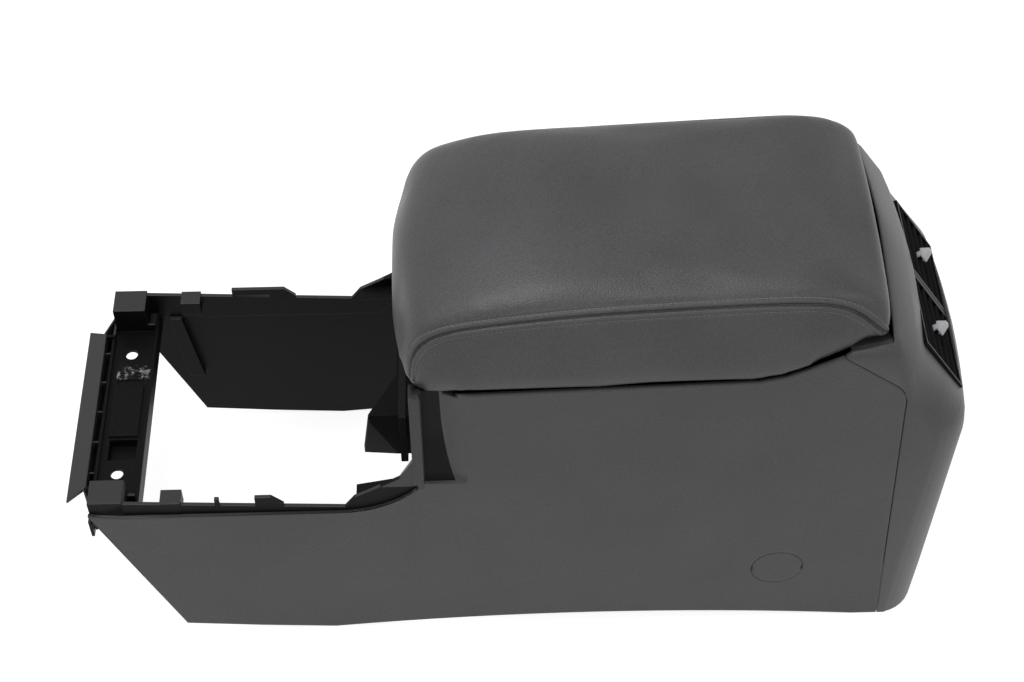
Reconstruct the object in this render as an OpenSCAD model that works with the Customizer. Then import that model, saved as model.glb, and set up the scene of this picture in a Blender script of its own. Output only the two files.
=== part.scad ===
// Center console of a car: side walls with front tray and storage box, hinged armrest lid,
// rear end with two air vents, and the air duct that feeds them.
// +X points to the car's rear, +Y to its right side, +Z up. The origin is on the floor, midway along.

/* [Overall] */
// Length of the front tray, from its lip to its rear edge
tray_len = 50; // [44:1:60]
// Length of the open well between the tray and the storage box
well_len = 186; // [150:1:220]
// Length of the storage box, from its neck to the rear end of the lid
box_len = 297; // [280:1:320]
// Length of the rear end behind the lid
cap_len = 77; // [72:1:86]
// Width across the side walls at the floor
body_w = 200; // [190:1:212]
// Inward lean of the side walls in degrees
wall_lean = 1.4; // [0.6:0.2:2.2]
// Thickness of the moulded walls
wall_t = 3; // [2.4:0.2:3.6]

/* [Front walls] */
// Height of the outer ledge of the front walls
ledge_h = 140; // [130:1:150]
// How far the inner rim stands above the ledge
rim_rise = 12; // [8:1:14]
// Thickness of the inner rim
rim_t = 2.2; // [1.6:0.2:3]
// Height of the sill at the front end
sill_rise = 9; // [4:1:14]
// How far the front end slants back from top to bottom
slant_run = 50; // [30:1:60]
// Height of the arch in the sill
arch_h = 10; // [4:1:16]
// Radius of the sweep from the ledge up to the neck
sweep_r = 70; // [50:1:80]

/* [Tray] */
// Height of the tray's top surface
tray_h = 131; // [124:1:134]
// Distance between the two screw holes
hole_gap = 106; // [90:1:120]
// Diameter of the screw holes
hole_d = 8.8; // [6:0.2:10]
// Width of the front lip
lip_w = 150; // [130:1:160]
// Length of a corner block
corner_len = 24; // [18:1:28]

/* [Storage box] */
// Height of the belt line under the lid, at the front
belt_h = 260; // [250:1:270]
// Clearance between the belt line and the lid
lid_gap = 2.5; // [2:0.5:5]
// Depth of the bin below its rim
bin_depth = 92; // [60:1:94]
// Thickness of the bin
bin_t = 2.2; // [1.6:0.2:3]
// Depth of the groove in the neck
groove_depth = 6; // [3:0.5:8]

/* [Lid] */
// Half width of the lid at its seam
seam_half = 80; // [74:1:84]
// Height of the lid's crown
crown_h = 338; // [330:1:344]
// Height of the hinge axis
hinge_h = 318; // [314:1:320]
// Distance of the hinge axis from the lid's rear end
hinge_back = 18; // [16:1:24]
// Diameter of the hinge pin
hinge_pin_d = 6; // [4:0.5:8]

/* [Rear end] */
// Height of the lower edge of the slanted vent face
vent_foot_h = 219; // [205:1:230]
// Radius of the rear corners
corner_r = 24; // [16:1:30]
// Diameter of the side plugs
plug_d = 37; // [30:1:44]
// Height of the side plugs
plug_h = 62; // [50:1:90]

/* [Vents] */
// Width of the opening for both vents
vent_w = 126; // [110:1:130]
// Height of the opening, along the slanted face
vent_len = 58; // [50:1:62]
// Number of louvres in each vent
louvres = 5; // [3:2:5]
// Chord of a louvre
louvre_chord = 13; // [10:0.5:14]
// Width of the divider between the vents
divider_w = 8; // [6:0.5:12]
// Number of upright vanes in each vent
vanes = 4; // [3:1:4]

/* [Air duct] */
// Width of the air duct
duct_w = 60; // [50:1:80]
// Height of the air duct
duct_h = 45; // [36:1:48]
// Thickness of the duct's wall
duct_t = 1.8; // [1.2:0.2:2.4]

/* [Fits] */
// Radial clearance of a running pin
run_fit = 0.06; // [0.04:0.01:0.09]
// Clearance between pieces that lie side by side
side_fit = 0.4; // [0.3:0.05:0.8]

/* [Hidden] */

full_len = tray_len + well_len + box_len + cap_len;
x_lip = -full_len / 2;
x_tray = x_lip + tray_len;
x_box = x_tray + well_len;
x_cap = x_box + box_len;
x_rear = x_cap + cap_len;
// Rear end of the lid, which overhangs the box a little
x_lid_rear = x_cap + 5;
half_w = body_w / 2;

x_front = x_lip + 19;
x_sill = x_front + slant_run;
x_neck = x_box + 6;
x_arch_front = x_box - 60;
x_arch_rear = x_cap + 20;

// Belt line: nearly level, then swinging up beside the rear end of the lid
belt_slope = 0.036;
belt_rise = 26;
x_belt = x_cap - 74;
function belt_line(x) =
    let(t = min(1, max(0, (x - x_belt) / (x_cap - x_belt))))
    belt_h + belt_slope * (x - x_box) + belt_rise * t * t * (3 - 2 * t);

// Seam between the side walls and the rear end
seam_r = 25;
x_seam = x_cap - 2;
z_seam = belt_line(x_cap - 22) - 47;
x_seam_foot = x_cap + 39;
seam_gap = 0.6;
lap = 8;

function arc(cx, cz, r, from, to, n) = [
    for (i = [0 : n]) let(a = from + (to - from) * i / n) [cx + r * cos(a), cz + r * sin(a)]
];
function flip(list) = [for (i = [len(list) - 1 : -1 : 0]) list[i]];

// Half width of the outer side surface at a height, and of the inner surface
function side_y(z) = half_w - z * tan(wall_lean);
function inner_y(z) = side_y(z) - wall_t / cos(wall_lean);

sole = wall_t * sin(wall_lean);

module mirrored() {
    children();
    mirror([0, 1, 0]) children();
}

// A wall-local frame on the left side: X along, Y inward from the outer surface, Z up the wall
module on_wall() {
    translate([0, -half_w, sole]) rotate([-wall_lean, 0, 0]) children();
}

// Extrudes an XZ outline from depth y0 to depth y1 in the wall-local frame
module wall_plate(y0, y1) {
    translate([0, y1, 0]) rotate([90, 0, 0]) linear_extrude(y1 - y0) children();
}

// Extrudes an XZ outline evenly about the middle plane
module mid_plate(width) {
    translate([0, width / 2, 0]) rotate([90, 0, 0]) linear_extrude(width) children();
}

module box_from(lo, hi) {
    translate(lo) cube(hi - lo);
}

// Closed skin over a stack of rings with equal numbers of points
module loft(rings) {
    n = len(rings[0]);
    m = len(rings);
    points = [for (r = rings) for (p = r) p];
    faces = concat(
        [for (i = [0 : m - 2]) for (j = [0 : n - 1]) [(i + 1) * n + j, i * n + (j + 1) % n, i * n + j]],
        [for (i = [0 : m - 2]) for (j = [0 : n - 1])
            [(i + 1) * n + j, (i + 1) * n + (j + 1) % n, i * n + (j + 1) % n]],
        [[for (j = [0 : n - 1]) j]],
        [[for (j = [n - 1 : -1 : 0]) (m - 1) * n + j]]
    );
    polyhedron(points, faces, convexity = 8);
}

// Console body

sweep_run = sweep_r * sin(50);
sweep_rise = sweep_r * (1 - cos(50));
rim_drop = 0.06;

function sill_line() = concat(
    [[x_sill, sill_rise], [x_sill + (x_arch_front - x_sill) / 2, sill_rise * 0.42], [x_arch_front, 0]],
    [for (i = [1 : 15]) let(t = i / 16, x = x_arch_front + (x_arch_rear - x_arch_front) * t)
        [x, 4 * arch_h * t * (1 - t)]],
    [[x_arch_rear, 0]]
);
function ledge_line(lift) = concat(
    [[x_front, ledge_h + 2.5 + lift], [x_front + 22, ledge_h + lift]],
    [for (p = arc(x_neck - sweep_run, ledge_h + sweep_r, sweep_r, 270, 320, 8)) [p[0], p[1] + lift]]
);
function seam_line(grow) = concat(
    [[x_seam_foot + grow, 0]],
    arc(x_seam, z_seam, seam_r + grow, 0, 45, 6),
    [[x_cap - 22 + grow * 0.7, belt_line(x_cap - 22) + grow * 0.7]]
);
function belt_points(from, to, n) = [for (i = [0 : n]) let(x = from + (to - from) * i / n) [x, belt_line(x)]];

module wall_outline() {
    polygon(concat(
        sill_line(),
        seam_line(-seam_gap),
        flip(belt_points(x_neck, x_cap - 23, 16)),
        flip(ledge_line(0))
    ));
}

// The rim stands inboard of the outer ledge and carries the tabs that locate the trim in front
module rim_outline() {
    depth = 14;
    polygon(concat(
        [[x_front + 4, ledge_h - depth], [x_front + 4, ledge_h + rim_rise + 2]],
        [[x_tray - 4, ledge_h + rim_rise], [x_neck - 50, ledge_h + rim_rise - rim_drop * (x_neck - 50 - x_tray)]],
        [[x_neck - 43, ledge_h + rim_rise + 2], [x_neck - 30, ledge_h + rim_rise + 10]],
        [[x_neck - 12, ledge_h + rim_rise + 22], [x_neck - 1, ledge_h + rim_rise + 44]],
        [[x_neck + 3, ledge_h + rim_rise + 44], [x_neck + 3, ledge_h + sweep_rise], [x_neck - 30, ledge_h - depth]]
    ));
    // Small nib, raised block with a sloping rear end
    translate([x_tray + 55, ledge_h]) square([3, rim_rise + 3]);
    polygon([
        [x_tray + 82, ledge_h], [x_tray + 82, ledge_h + rim_rise + 4],
        [x_tray + 93, ledge_h + rim_rise + 4], [x_tray + 101, ledge_h + rim_rise - 4], [x_tray + 101, ledge_h]
    ]);
}

// Long block on the right rim, in place of the nib and block on the left
module long_block() {
    polygon([
        [x_tray + 55, ledge_h + rim_rise - 2], [x_tray + 55, ledge_h + rim_rise + 4],
        [x_tray + 86, ledge_h + rim_rise + 4], [x_tray + 97, ledge_h + rim_rise - 1], [x_tray + 97, ledge_h + rim_rise - 2]
    ]);
}

// Oblique rib on the inner face near the front
module oblique_rib() {
    polygon([[x_tray + 6, 127], [x_tray + 15, 127], [x_tray + 24, 58], [x_tray + 12, 58]]);
}

groove_front = x_neck + 4;
groove_rear = x_neck + 22;
groove_foot = ledge_h + sweep_rise + 6;

module groove_cut() {
    translate([0, 0, groove_foot])
        linear_extrude(200)
            polygon(concat(
                [[groove_front, -1], [groove_rear + 5, -1]],
                [for (i = [0 : 7]) let(t = i / 7) [groove_rear + 4 - 14 * t, groove_depth * t * t * (3 - 2 * t)]],
                [[groove_front, groove_depth]]
            ));
}

module groove_skin() {
    translate([0, 0, groove_foot - wall_t])
        linear_extrude(belt_h - groove_foot + wall_t)
            polygon([
                [x_neck + 0.2, 0.5], [groove_rear + wall_t, 0.5],
                [groove_rear - 6, groove_depth + wall_t], [x_neck + 0.2, groove_depth + wall_t]
            ]);
}

module side_wall() {
    on_wall() {
        difference() {
            union() {
                wall_plate(0, wall_t) wall_outline();
                groove_skin();
            }
            groove_cut();
            // Access hole for the side screw, with a recessed seat for its plug
            translate([plug_x, -1, plug_h]) rotate([-90, 0, 0]) cylinder(d = plug_d, h = 1 + plug_seat, $fn = 64);
            translate([plug_x, -1, plug_h]) rotate([-90, 0, 0]) cylinder(d = plug_hole, h = wall_t + 2, $fn = 64);
        }
        wall_plate(wall_t - 0.5, wall_t + rim_t) rim_outline();
        wall_plate(wall_t - 0.2, wall_t + 5) oblique_rib();
        // Return flange along the front edge of the neck
        wall_plate(0.8, wall_t + 9)
            polygon([
                [x_neck - 3, ledge_h + sweep_rise + 4], [x_neck + 0.5, ledge_h + sweep_rise + 2],
                [x_neck + 0.5, belt_h], [x_neck - 3, belt_h]
            ]);
        // Tongue that the rear end laps over, with its screw holes
        difference() {
            wall_plate(wall_t - 0.3, wall_t + tongue_t)
                intersection() {
                    polygon(concat(seam_line(lap), flip(seam_line(-lap))));
                    translate([x_cap - 10, 60]) square([80, z_seam - 74]);
                }
            for (p = cap_holes) translate([p[0], 0, p[1]]) rotate([-90, 0, 0]) cylinder(d = cap_screw_d + 0.3, h = 20, $fn = 32);
        }
        // Cup behind the plug, whose floor carries the side screw
        translate([plug_x, wall_t - 0.2, plug_h]) rotate([-90, 0, 0])
            difference() {
                cylinder(d = plug_hole + 2 * cup_t, h = cup_depth - wall_t + 0.2 + cup_t, $fn = 64);
                translate([0, 0, -1]) cylinder(d = plug_hole, h = cup_depth - wall_t + 1.2, $fn = 64);
                cylinder(d = side_screw_d + 0.4, h = 40, $fn = 32);
            }
    }
}

plug_x = x_cap - 41;
plug_seat = 1.4;
plug_hole = plug_d - 6;
cup_depth = 9;
cup_t = 1.8;
side_screw_d = 5;
tongue_t = 2;
cap_screw_d = 4;
function seam_at(z) = x_seam_foot + (x_seam + seam_r - x_seam_foot) * z / z_seam;
cap_holes = [for (z = [90, 200]) [seam_at(z) + 4, z]];

lip_rise = 9;
lip_run = 12.6;
x_channel = x_lip + lip_run;
x_ridge = x_channel + 7;
z_lip = tray_h + 6;
floor_t = 2.6;
corner_in = side_y(tray_h) - 22;

module tray() {
    reach = inner_y(tray_h) + 1;
    difference() {
        union() {
            // Tray floor, rear upstand and its down flange
            box_from([x_ridge, -reach, tray_h - floor_t], [x_tray, reach, tray_h]);
            box_from([x_tray - 2, -reach, tray_h - 12], [x_tray, reach, tray_h + 2.5]);
            // Channel between ridge and lip
            box_from([x_ridge - 2, -reach, tray_h - 14], [x_ridge, reach, tray_h + 3]);
            box_from([x_channel - 1, -lip_w / 2 + 7, tray_h - 14], [x_ridge, lip_w / 2 - 7, tray_h - 14 + floor_t]);
            box_from([x_channel - 1, -lip_w / 2 + 7, tray_h - 14], [x_channel + 1, lip_w / 2 - 7, z_lip - 1]);
            // Ribs across the channel
            for (y = [-hole_gap / 2, -hole_gap / 4, 0, hole_gap / 4, hole_gap / 2])
                box_from([x_channel, y - 0.6, tray_h - 14], [x_ridge - 1, y + 0.6, tray_h + 2]);
            // Raised pad, and the sunk pocket beside it
            box_from([x_ridge + 4, -22, tray_h - 1], [x_tray - 6, 23, tray_h + 2]);
            box_from([x_ridge + 3, -43.5, tray_h - 10], [x_tray - 4, -22, tray_h]);
            corner_blocks();
        }
        box_from([x_ridge + 5, -41.5, tray_h - 8], [x_tray - 6, -24, tray_h + 5]);
        box_from([x_ridge + 5, 24.5, tray_h - 1.2], [x_tray - 6, 30, tray_h + 5]);
        for (side = [-1, 1])
            translate([x_hole, side * hole_gap / 2, tray_h - floor_t - 1])
                cylinder(d = hole_d, h = floor_t + 4, $fn = 48);
    }
    lip();
}
x_hole = x_tray - 17.6;

// Hollow blocks in the two front corners, and smaller ones behind the tray
module corner_blocks() {
    top = ledge_h + rim_rise + 2;
    mirrored() {
        difference() {
            box_from([x_front + 1, corner_in, tray_h - 2], [x_front + corner_len, side_y(top) - 2, top]);
            box_from([x_front + 3, corner_in + 2, tray_h - 5], [x_front + corner_len - 2, side_y(top) - 5, top - 2]);
        }
        box_from([x_front + corner_len - 1, corner_in, tray_h - 2], [x_tray - 2, corner_in + 2, tray_h + 7]);
        box_from([x_tray + 18, side_y(top) - 14, top - 14], [x_tray + 32, side_y(top) - 2, top - 2]);
        // Web from the channel wall out to the corner block
        translate([0, 0, tray_h - 12])
            linear_extrude(z_lip - tray_h + 11)
                polygon([
                    [x_channel - 1, lip_w / 2 - 8], [x_front + 3, side_y(top) - 6],
                    [x_front + 1.5, side_y(top) - 5], [x_channel - 1, lip_w / 2 - 5.6]
                ]);
        box_from([x_channel, lip_w / 2 - 9, tray_h - 14], [x_ridge, lip_w / 2 - 7, tray_h + 5]);
    }
}

// Slanted lip whose ends taper
module lip() {
    mid_z = z_lip - lip_rise;
    lip_end = x_channel + 1;
    intersection() {
        mid_plate(lip_w)
            polygon([[x_lip, mid_z], [lip_end, z_lip - floor_t], [lip_end, z_lip], [x_lip, mid_z + floor_t]]);
        translate([0, 0, mid_z - 1])
            linear_extrude(lip_rise + 2)
                polygon([
                    [x_lip, -lip_w / 2], [x_lip, lip_w / 2],
                    [lip_end, lip_w / 2 - 7], [lip_end, 7 - lip_w / 2]
                ]);
    }
}

shelf_z = belt_h - 8;
x_panel = x_neck + 1;
x_shelf = x_cap - 46;
panel_foot = shelf_z - 74;

module box_shelves() {
    // Panel across the neck, notched for the latch and open below for the duct
    difference() {
        mid_plate(2 * inner_y(shelf_z) + 1.5)
            polygon([[x_panel, panel_foot], [x_panel + wall_t, panel_foot], [x_panel + wall_t, shelf_z], [x_panel, shelf_z]]);
        box_from([x_panel - 1, -latch_w / 2 - 4, shelf_z - 28], [x_panel + wall_t + 1, latch_w / 2 + 4, shelf_z + 1]);
    }
    // Ledges along both walls that carry the rim of the bin
    mirrored()
        box_from([x_panel + 1, bin_half + side_fit, shelf_z - 3], [x_shelf + 4, inner_y(shelf_z) + 0.8, shelf_z]);
    // Shelf under the hinge
    difference() {
        box_from([x_shelf, -inner_y(shelf_z) - 0.8, shelf_z - 3], [x_hinge_shelf, inner_y(shelf_z) + 0.8, shelf_z]);
        for (p = bracket_holes) translate([p[0], p[1], shelf_z - 6]) cylinder(d = 4.2, h = 8, $fn = 32);
    }
    for (y = [-60, -20, 20, 60])
        box_from([x_shelf, y - 1, shelf_z - 16], [x_hinge_shelf, y + 1, shelf_z - 2]);
}
x_hinge_shelf = x_cap - 2;

module console_body() {
    color([0.24, 0.24, 0.25]) {
        mirrored() side_wall();
        mirror([0, 1, 0]) on_wall() wall_plate(wall_t - 0.5, wall_t + rim_t) long_block();
        tray();
        box_shelves();
    }
}

// Rear end

cap_front = x_lid_rear + 2.5;
cap_drop = 20;
swing_half = side_y(crown_h) - 4;
vent_foot_x = x_rear - 6;
cap_t = 2.6;
shoulder_r = 9;
vent_run = 33;
vent_slope = 50 / vent_run;

// Rear end outline at a distance d inward from the side surface: the top drops and the corner rounds off
function corner_back(d) = d >= corner_r ? 0 : corner_r - sqrt(max(0, corner_r * corner_r - pow(corner_r - d, 2)));
function bow_back(d) = 8 * pow(max(0, 1 - d / half_w), 2);
function top_drop(d) =
    let(t = max(0, 1 - d / (half_w - 6)), r = shoulder_r)
    20 * pow(t, 1.6) + (d < r ? r - sqrt(r * r - pow(r - d, 2)) : 0);

function cap_section(d, t) =
    let(
        back = corner_back(max(d, 0.4)) + bow_back(d) + t,
        drop = top_drop(d) + t,
        z0 = crown_h - cap_drop - drop,
        x1 = vent_foot_x - back * 0.9,
        rear = x_rear - back,
        // The flat of the vent face, and the top's run down to it
        x_edge = cap_front + 5,
        flat = min(vent_run, (x1 - x_edge) * 0.57),
        z_flat = vent_foot_h + vent_slope * flat - drop * 0.2
    )
    concat(
        [[cap_front - 60, t == 0 ? 0 : -5], [cap_front - 60, z0]],
        [[cap_front + 1, z0], [x_edge, z0 - 4 - t * 0.4]],
        [[(x_edge + x1 - flat) / 2 + 2.5, (z0 - 4 + z_flat) / 2 + 1.5]],
        [[x1 - flat, z_flat], [x1 - flat / 2, vent_foot_h + vent_slope / 2 * flat - drop * 0.12]],
        [[x1, vent_foot_h - t * 0.3], [x1 + 3.5, vent_foot_h - 8], [rear, vent_foot_h - 22]],
        [[rear - 1, vent_foot_h - 60], [rear - 2.5, 100], [rear - 4, 40]],
        [[rear - 5.5, t == 0 ? 0 : -5]]
    );

cap_stations = [0, 0.8, 2, 4, 7, 11, 16, 22, 30, 44, 60, 78];
function cap_ring(d, t, side) = [
    for (p = cap_section(d, t)) [p[0], side * (half_w - max(d, t) - p[1] * tan(wall_lean)), p[1]]
];
function mid_ring(t) = [for (p = cap_section(half_w, t)) [p[0], 0, p[1]]];

module cap_form(t) {
    picked = [for (d = cap_stations) if (d == 0 || d > t) d];
    loft(concat(
        [for (d = picked) cap_ring(d, t, -1)],
        [mid_ring(t)],
        [for (d = flip(picked)) cap_ring(d, t, 1)]
    ));
}

vent_angle = atan(vent_slope);
vent_mid = [vent_foot_x - 16.5, 0, vent_foot_h + 25];

// Frame of the vents: Y across, X down the slanted face, Z out of it
module on_vent() {
    translate(vent_mid) rotate([0, vent_angle, 0]) children();
}

module cap_side_trim() {
    // What lies in front of the seam belongs to the side walls
    translate([0, 120, 0])
        rotate([90, 0, 0])
            linear_extrude(240)
                polygon(concat(
                    [[x_cap - 80, -10], [x_seam_foot, -10]],
                    seam_line(0),
                    [[x_cap - 18, belt_line(x_cap - 18) + lid_gap - 1], [cap_front, belt_line(x_cap) + lid_gap - 1]],
                    [[cap_front, 400], [x_cap - 80, 400]]
                ));
}

module rear_cap() {
    color([0.27, 0.27, 0.28])
        difference() {
            cap_form(0);
            cap_form(cap_t);
            cap_side_trim();
            // Room for the lid's rear edge to swing through
            box_from([x_cap - 80, -swing_half, -10], [cap_front, swing_half, crown_h]);
            on_vent() cube([vent_len, vent_w, 40], center = true);
        }
}

// Storage bin

bin_half = inner_y(shelf_z) - 7;
x_bin = x_panel + wall_t + 13;
x_bin_rear = x_shelf - 4;
bin_top = shelf_z + bin_t;
bin_floor = bin_top - bin_depth;

module round_box(x0, x1, half, z0, z1, r) {
    translate([0, 0, z0])
        linear_extrude(z1 - z0)
            union() {
                translate([x0 + r, -half]) square([x1 - x0 - 2 * r, 2 * half]);
                translate([x0, -half + r]) square([x1 - x0, 2 * half - 2 * r]);
                for (x = [x0 + r, x1 - r], y = [-half + r, half - r]) translate([x, y]) circle(r = r, $fn = 48);
            }
}

module storage_bin() {
    color([0.12, 0.12, 0.13])
        difference() {
            union() {
                round_box(x_bin, x_bin_rear, bin_half, bin_floor, bin_top, 14);
                box_from([x_panel, -bin_half - 0.6, shelf_z], [x_bin_rear + 3.5, bin_half + 0.6, bin_top]);
                box_from([groove_rear + wall_t + 1, -bin_half - 4, shelf_z], [x_bin_rear + 3.5, bin_half + 4, bin_top]);
            }
            round_box(x_bin + bin_t, x_bin_rear - bin_t, bin_half - bin_t, bin_floor + bin_t, bin_top + 1, 12);
            // Keeper slot for the latch hook, and the gap that the hook hangs in
            box_from([x_bin - 1, -latch_w / 2 - 1, hook_z - 3], [x_bin + bin_t + 1, latch_w / 2 + 1, hook_z + 4]);
            box_from([x_panel - 1, -latch_w / 2 - 4, shelf_z - 1], [x_bin - 1, latch_w / 2 + 4, bin_top + 1]);
        }
}

module bin_mat() {
    color([0.08, 0.08, 0.08])
        round_box(
            x_bin + bin_t + 1, x_bin_rear - bin_t - 1, bin_half - bin_t - 1,
            bin_floor + bin_t, bin_floor + bin_t + 2, 11
        );
}

// Air duct

duct_top = bin_floor - 2;
duct_floor = duct_top - duct_h;
x_duct = x_box - 34;
mouth_run = 24;
x_riser = x_cap + 4;
riser_w = 30;

module duct_form(t) {
    w = duct_w / 2 - t;
    // The hollow of a form with walls runs out past the open mouth
    out = t > 0 ? 3 : 0;
    // Oblique mouth, longest on the left side, whose lower corner turns in
    hull() {
        box_from([x_duct - out, -w + 5, duct_floor - 4 + t], [x_duct + 1, -w + 6, duct_floor + 4]);
        box_from([x_duct + 5 - out, -w, duct_top - 6], [x_duct + 6, -w + 1, duct_top - t]);
        box_from([x_duct + mouth_run - out / 3, -w, duct_floor + t], [x_duct + mouth_run + 1, 6 - t, duct_top - t]);
    }
    mid_plate(2 * w)
        polygon(concat(
            [[x_duct + mouth_run - out / 3, duct_floor + t]],
            arc(x_riser, duct_floor + riser_w, riser_w - t, 270, 360, 6),
            [[x_riser + riser_w - t, duct_top + 18], [x_riser + t, duct_top + 18]],
            [[x_riser + t, duct_top - t], [x_duct + mouth_run - out / 3, duct_top - t]]
        ));
    // Riser that widens to the back of the vents
    hull() {
        box_from([x_riser + t, -w, duct_top + 17], [x_riser + riser_w - t, w, duct_top + 18]);
        translate(duct_mouth) rotate([0, vent_angle, 0])
            box_from([-14 + t, -vent_w / 2 + 6 + t, -1], [14 - t, vent_w / 2 - 6 - t, t > 0 ? 1 : 0]);
    }
}
housing_depth = 34;
duct_mouth = vent_mid + (-housing_depth - 0.3) * [sin(vent_angle), 0, cos(vent_angle)];

module air_duct() {
    color([0.1, 0.1, 0.11])
        difference() {
            duct_form(0);
            duct_form(duct_t);
        }
}

x_seal = x_duct + mouth_run + 2;
seal_w = 5;

module duct_seal() {
    color([0.15, 0.15, 0.15])
        difference() {
            box_from([x_seal, -duct_w / 2 - 4, duct_floor - 4], [x_seal + seal_w, duct_w / 2 + 4, duct_top + 1.7]);
            box_from(
                [x_seal - 1, -duct_w / 2 - 0.05, duct_floor - 0.05],
                [x_seal + seal_w + 1, duct_w / 2 + 0.05, duct_top + 0.05]
            );
        }
}

// Vents

housing_t = 2;
vent_half = vent_w / 2 - side_fit;
cell_w = vent_half - housing_t - divider_w / 2;
cell_mid = divider_w / 2 + cell_w / 2;
pitch = (vent_len - 2 * housing_t - 2) / louvres;
louvre_z = -7.5;
pivot_d = 2.4;
vane_z = -23;
vane_pitch = cell_w / (vanes + 1);

module vent_housing() {
    len_in = vent_len / 2 - side_fit;
    color([0.1, 0.1, 0.1])
        on_vent()
            difference() {
                box_from([-len_in, -vent_half, -housing_depth], [len_in, vent_half, -1.5]);
                for (side = [-1, 1]) {
                    translate([0, side * cell_mid, 0])
                        box_from(
                            [-len_in + housing_t, -cell_w / 2, -housing_depth - 1],
                            [len_in - housing_t, cell_w / 2, 1]
                        );
                }
                // Pivot holes of the louvres and of the vanes
                for (i = [0 : louvres - 1])
                    translate([(i - (louvres - 1) / 2) * pitch, -vent_half - 1, louvre_z])
                        rotate([-90, 0, 0]) cylinder(d = pivot_d + 2 * run_fit, h = 2 * vent_half + 2, $fn = 24);
                for (side = [-1, 1], i = [1 : vanes])
                    translate([-len_in - 1, side * cell_mid - cell_w / 2 + i * vane_pitch, vane_z])
                        rotate([0, 90, 0]) cylinder(d = pivot_d + 2 * run_fit, h = vent_len + 2, $fn = 24);
                // Shallow trough in the face of the divider
                translate([-len_in - 1, 0, 1.2]) rotate([0, 90, 0]) cylinder(d = divider_w - 2, h = vent_len + 2, $fn = 48);
            }
}

// One louvre: a bulged blade with a pivot at each end
module louvre(side, i) {
    x = (i - (louvres + 1) / 2) * pitch;
    w = cell_w - 2 * side_fit;
    color([0.13, 0.13, 0.14])
        on_vent() translate([x, side * cell_mid, louvre_z]) {
            rotate([90, 0, 0])
                linear_extrude(w, center = true)
                    intersection() {
                        translate([-12, 0]) circle(r = 13.5, $fn = 96);
                        translate([12, 0]) circle(r = 13.5, $fn = 96);
                        square([6, louvre_chord], center = true);
                    }
            rotate([90, 0, 0]) cylinder(d = pivot_d, h = cell_w + 2 * housing_t - 0.6, center = true, $fn = 24);
        }
}

// One upright vane behind the louvres
module vane(side, i) {
    len_in = vent_len / 2 - side_fit - housing_t;
    y = side * cell_mid - cell_w / 2 + i * vane_pitch;
    color([0.13, 0.13, 0.14])
        on_vent() translate([0, y, vane_z]) {
            cube([2 * len_in - 2 * side_fit, 1.4, 12], center = true);
            rotate([0, 90, 0]) cylinder(d = pivot_d, h = 2 * len_in + 2 * housing_t - 0.6, center = true, $fn = 24);
        }
}

knob_w = 8;
// Slider on the middle louvre: a tapered grip outside, two cheeks astride the blade
module knob(side) {
    color([0.72, 0.73, 0.75])
        on_vent() translate([0, side * cell_mid, louvre_z])
            difference() {
                union() {
                    box_from([-3.2, -knob_w / 2 + 2, 0], [3.2, knob_w / 2 - 2, louvre_chord / 2 + 1]);
                    hull() {
                        box_from([-3.2, -knob_w / 2, louvre_chord / 2 + 0.5], [3.2, knob_w / 2, louvre_chord / 2 + 1.5]);
                        box_from([-2.4, -1, louvre_chord / 2 + 6], [0.6, 2, louvre_chord / 2 + 7]);
                    }
                }
                box_from([-1.5 - side_fit, -knob_w, -1], [1.5 + side_fit, knob_w, louvre_chord / 2 + side_fit]);
            }
}

// Armrest

x_nose = x_box - 7;
x_hinge = x_cap - hinge_back;

// Heights of the crown and of the seam where the nose starts, and how far the crown swells above the seam
nose_h = belt_h + 25;
seam_low = belt_h + 12;
crown_swell = 9;

function super(t, p) = pow(max(0, 1 - pow(1 - min(1, max(0, t)), p)), 1 / p);
function lid_low(x) = belt_line(x) + lid_gap + 14 * (1 - super((x - x_nose) / 16, 2));
// Rear rounding of the lid, in profile
function rear_round(x, r) = let(d = x - (x_lid_rear - r)) d <= 0 ? 0 : r - sqrt(max(0, r * r - d * d));
function lid_crown(x) =
    nose_h + (crown_h - nose_h) * super((x - x_nose) / 135, 2.6) - 8 * pow(max(0, (x - x_cap + 80) / 80), 2) - rear_round(x, 8);
function lid_shoulder(x) =
    seam_low + (crown_h - crown_swell - seam_low) * super((x - x_nose - 6) / 128, 2.6) + 0.05 * max(0, min(x, x_cap - 50) - x_box - 120)
    - rear_round(x, 44) * 0.6;
function lid_seam(x) = max(lid_shoulder(x), lid_low(x) + 10);
function lid_top(x) = max(lid_crown(x), lid_seam(x) + 4);
function lid_half(x) = (seam_half + 1) * super((x - x_nose + 0.4) / 30, 2.8);

// Section across the lid, right half, from the bottom middle up the side to the crown
function lid_half_section(x, t) =
    let(
        w = lid_half(x) - t,
        low = lid_low(x) + t,
        sh = lid_seam(x) - t,
        top = lid_top(x) - t,
        flare = 13 * min(1, (sh - low) / 55) * min(1, w / 60)
    )
    concat(
        [[w + flare - 4, low], [w + flare - 1, low + 1], [w + flare, low + 3]],
        [for (k = [0.3, 0.6, 0.85]) [w + flare * (1 - k) + 1.5 * sin(180 * k), low + 3 + (sh - low - 7) * k]],
        [for (a = [10 : 20 : 70]) [w - 6 + 6.5 * cos(a), sh - 5 + 7 * sin(a)]],
        [for (k = [0.8, 0.6, 0.4, 0.2]) [w * k, sh + 2 + (top - sh - 2) * (1 - pow(k, 2.2))]]
    );
function lid_ring(x, t) =
    let(half = lid_half_section(x, t))
    concat(
        [for (p = half) [x, p[0], p[1]]],
        [[x, 0, lid_top(x) - t]],
        [for (p = flip(half)) [x, -p[0], p[1]]]
    );
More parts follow.
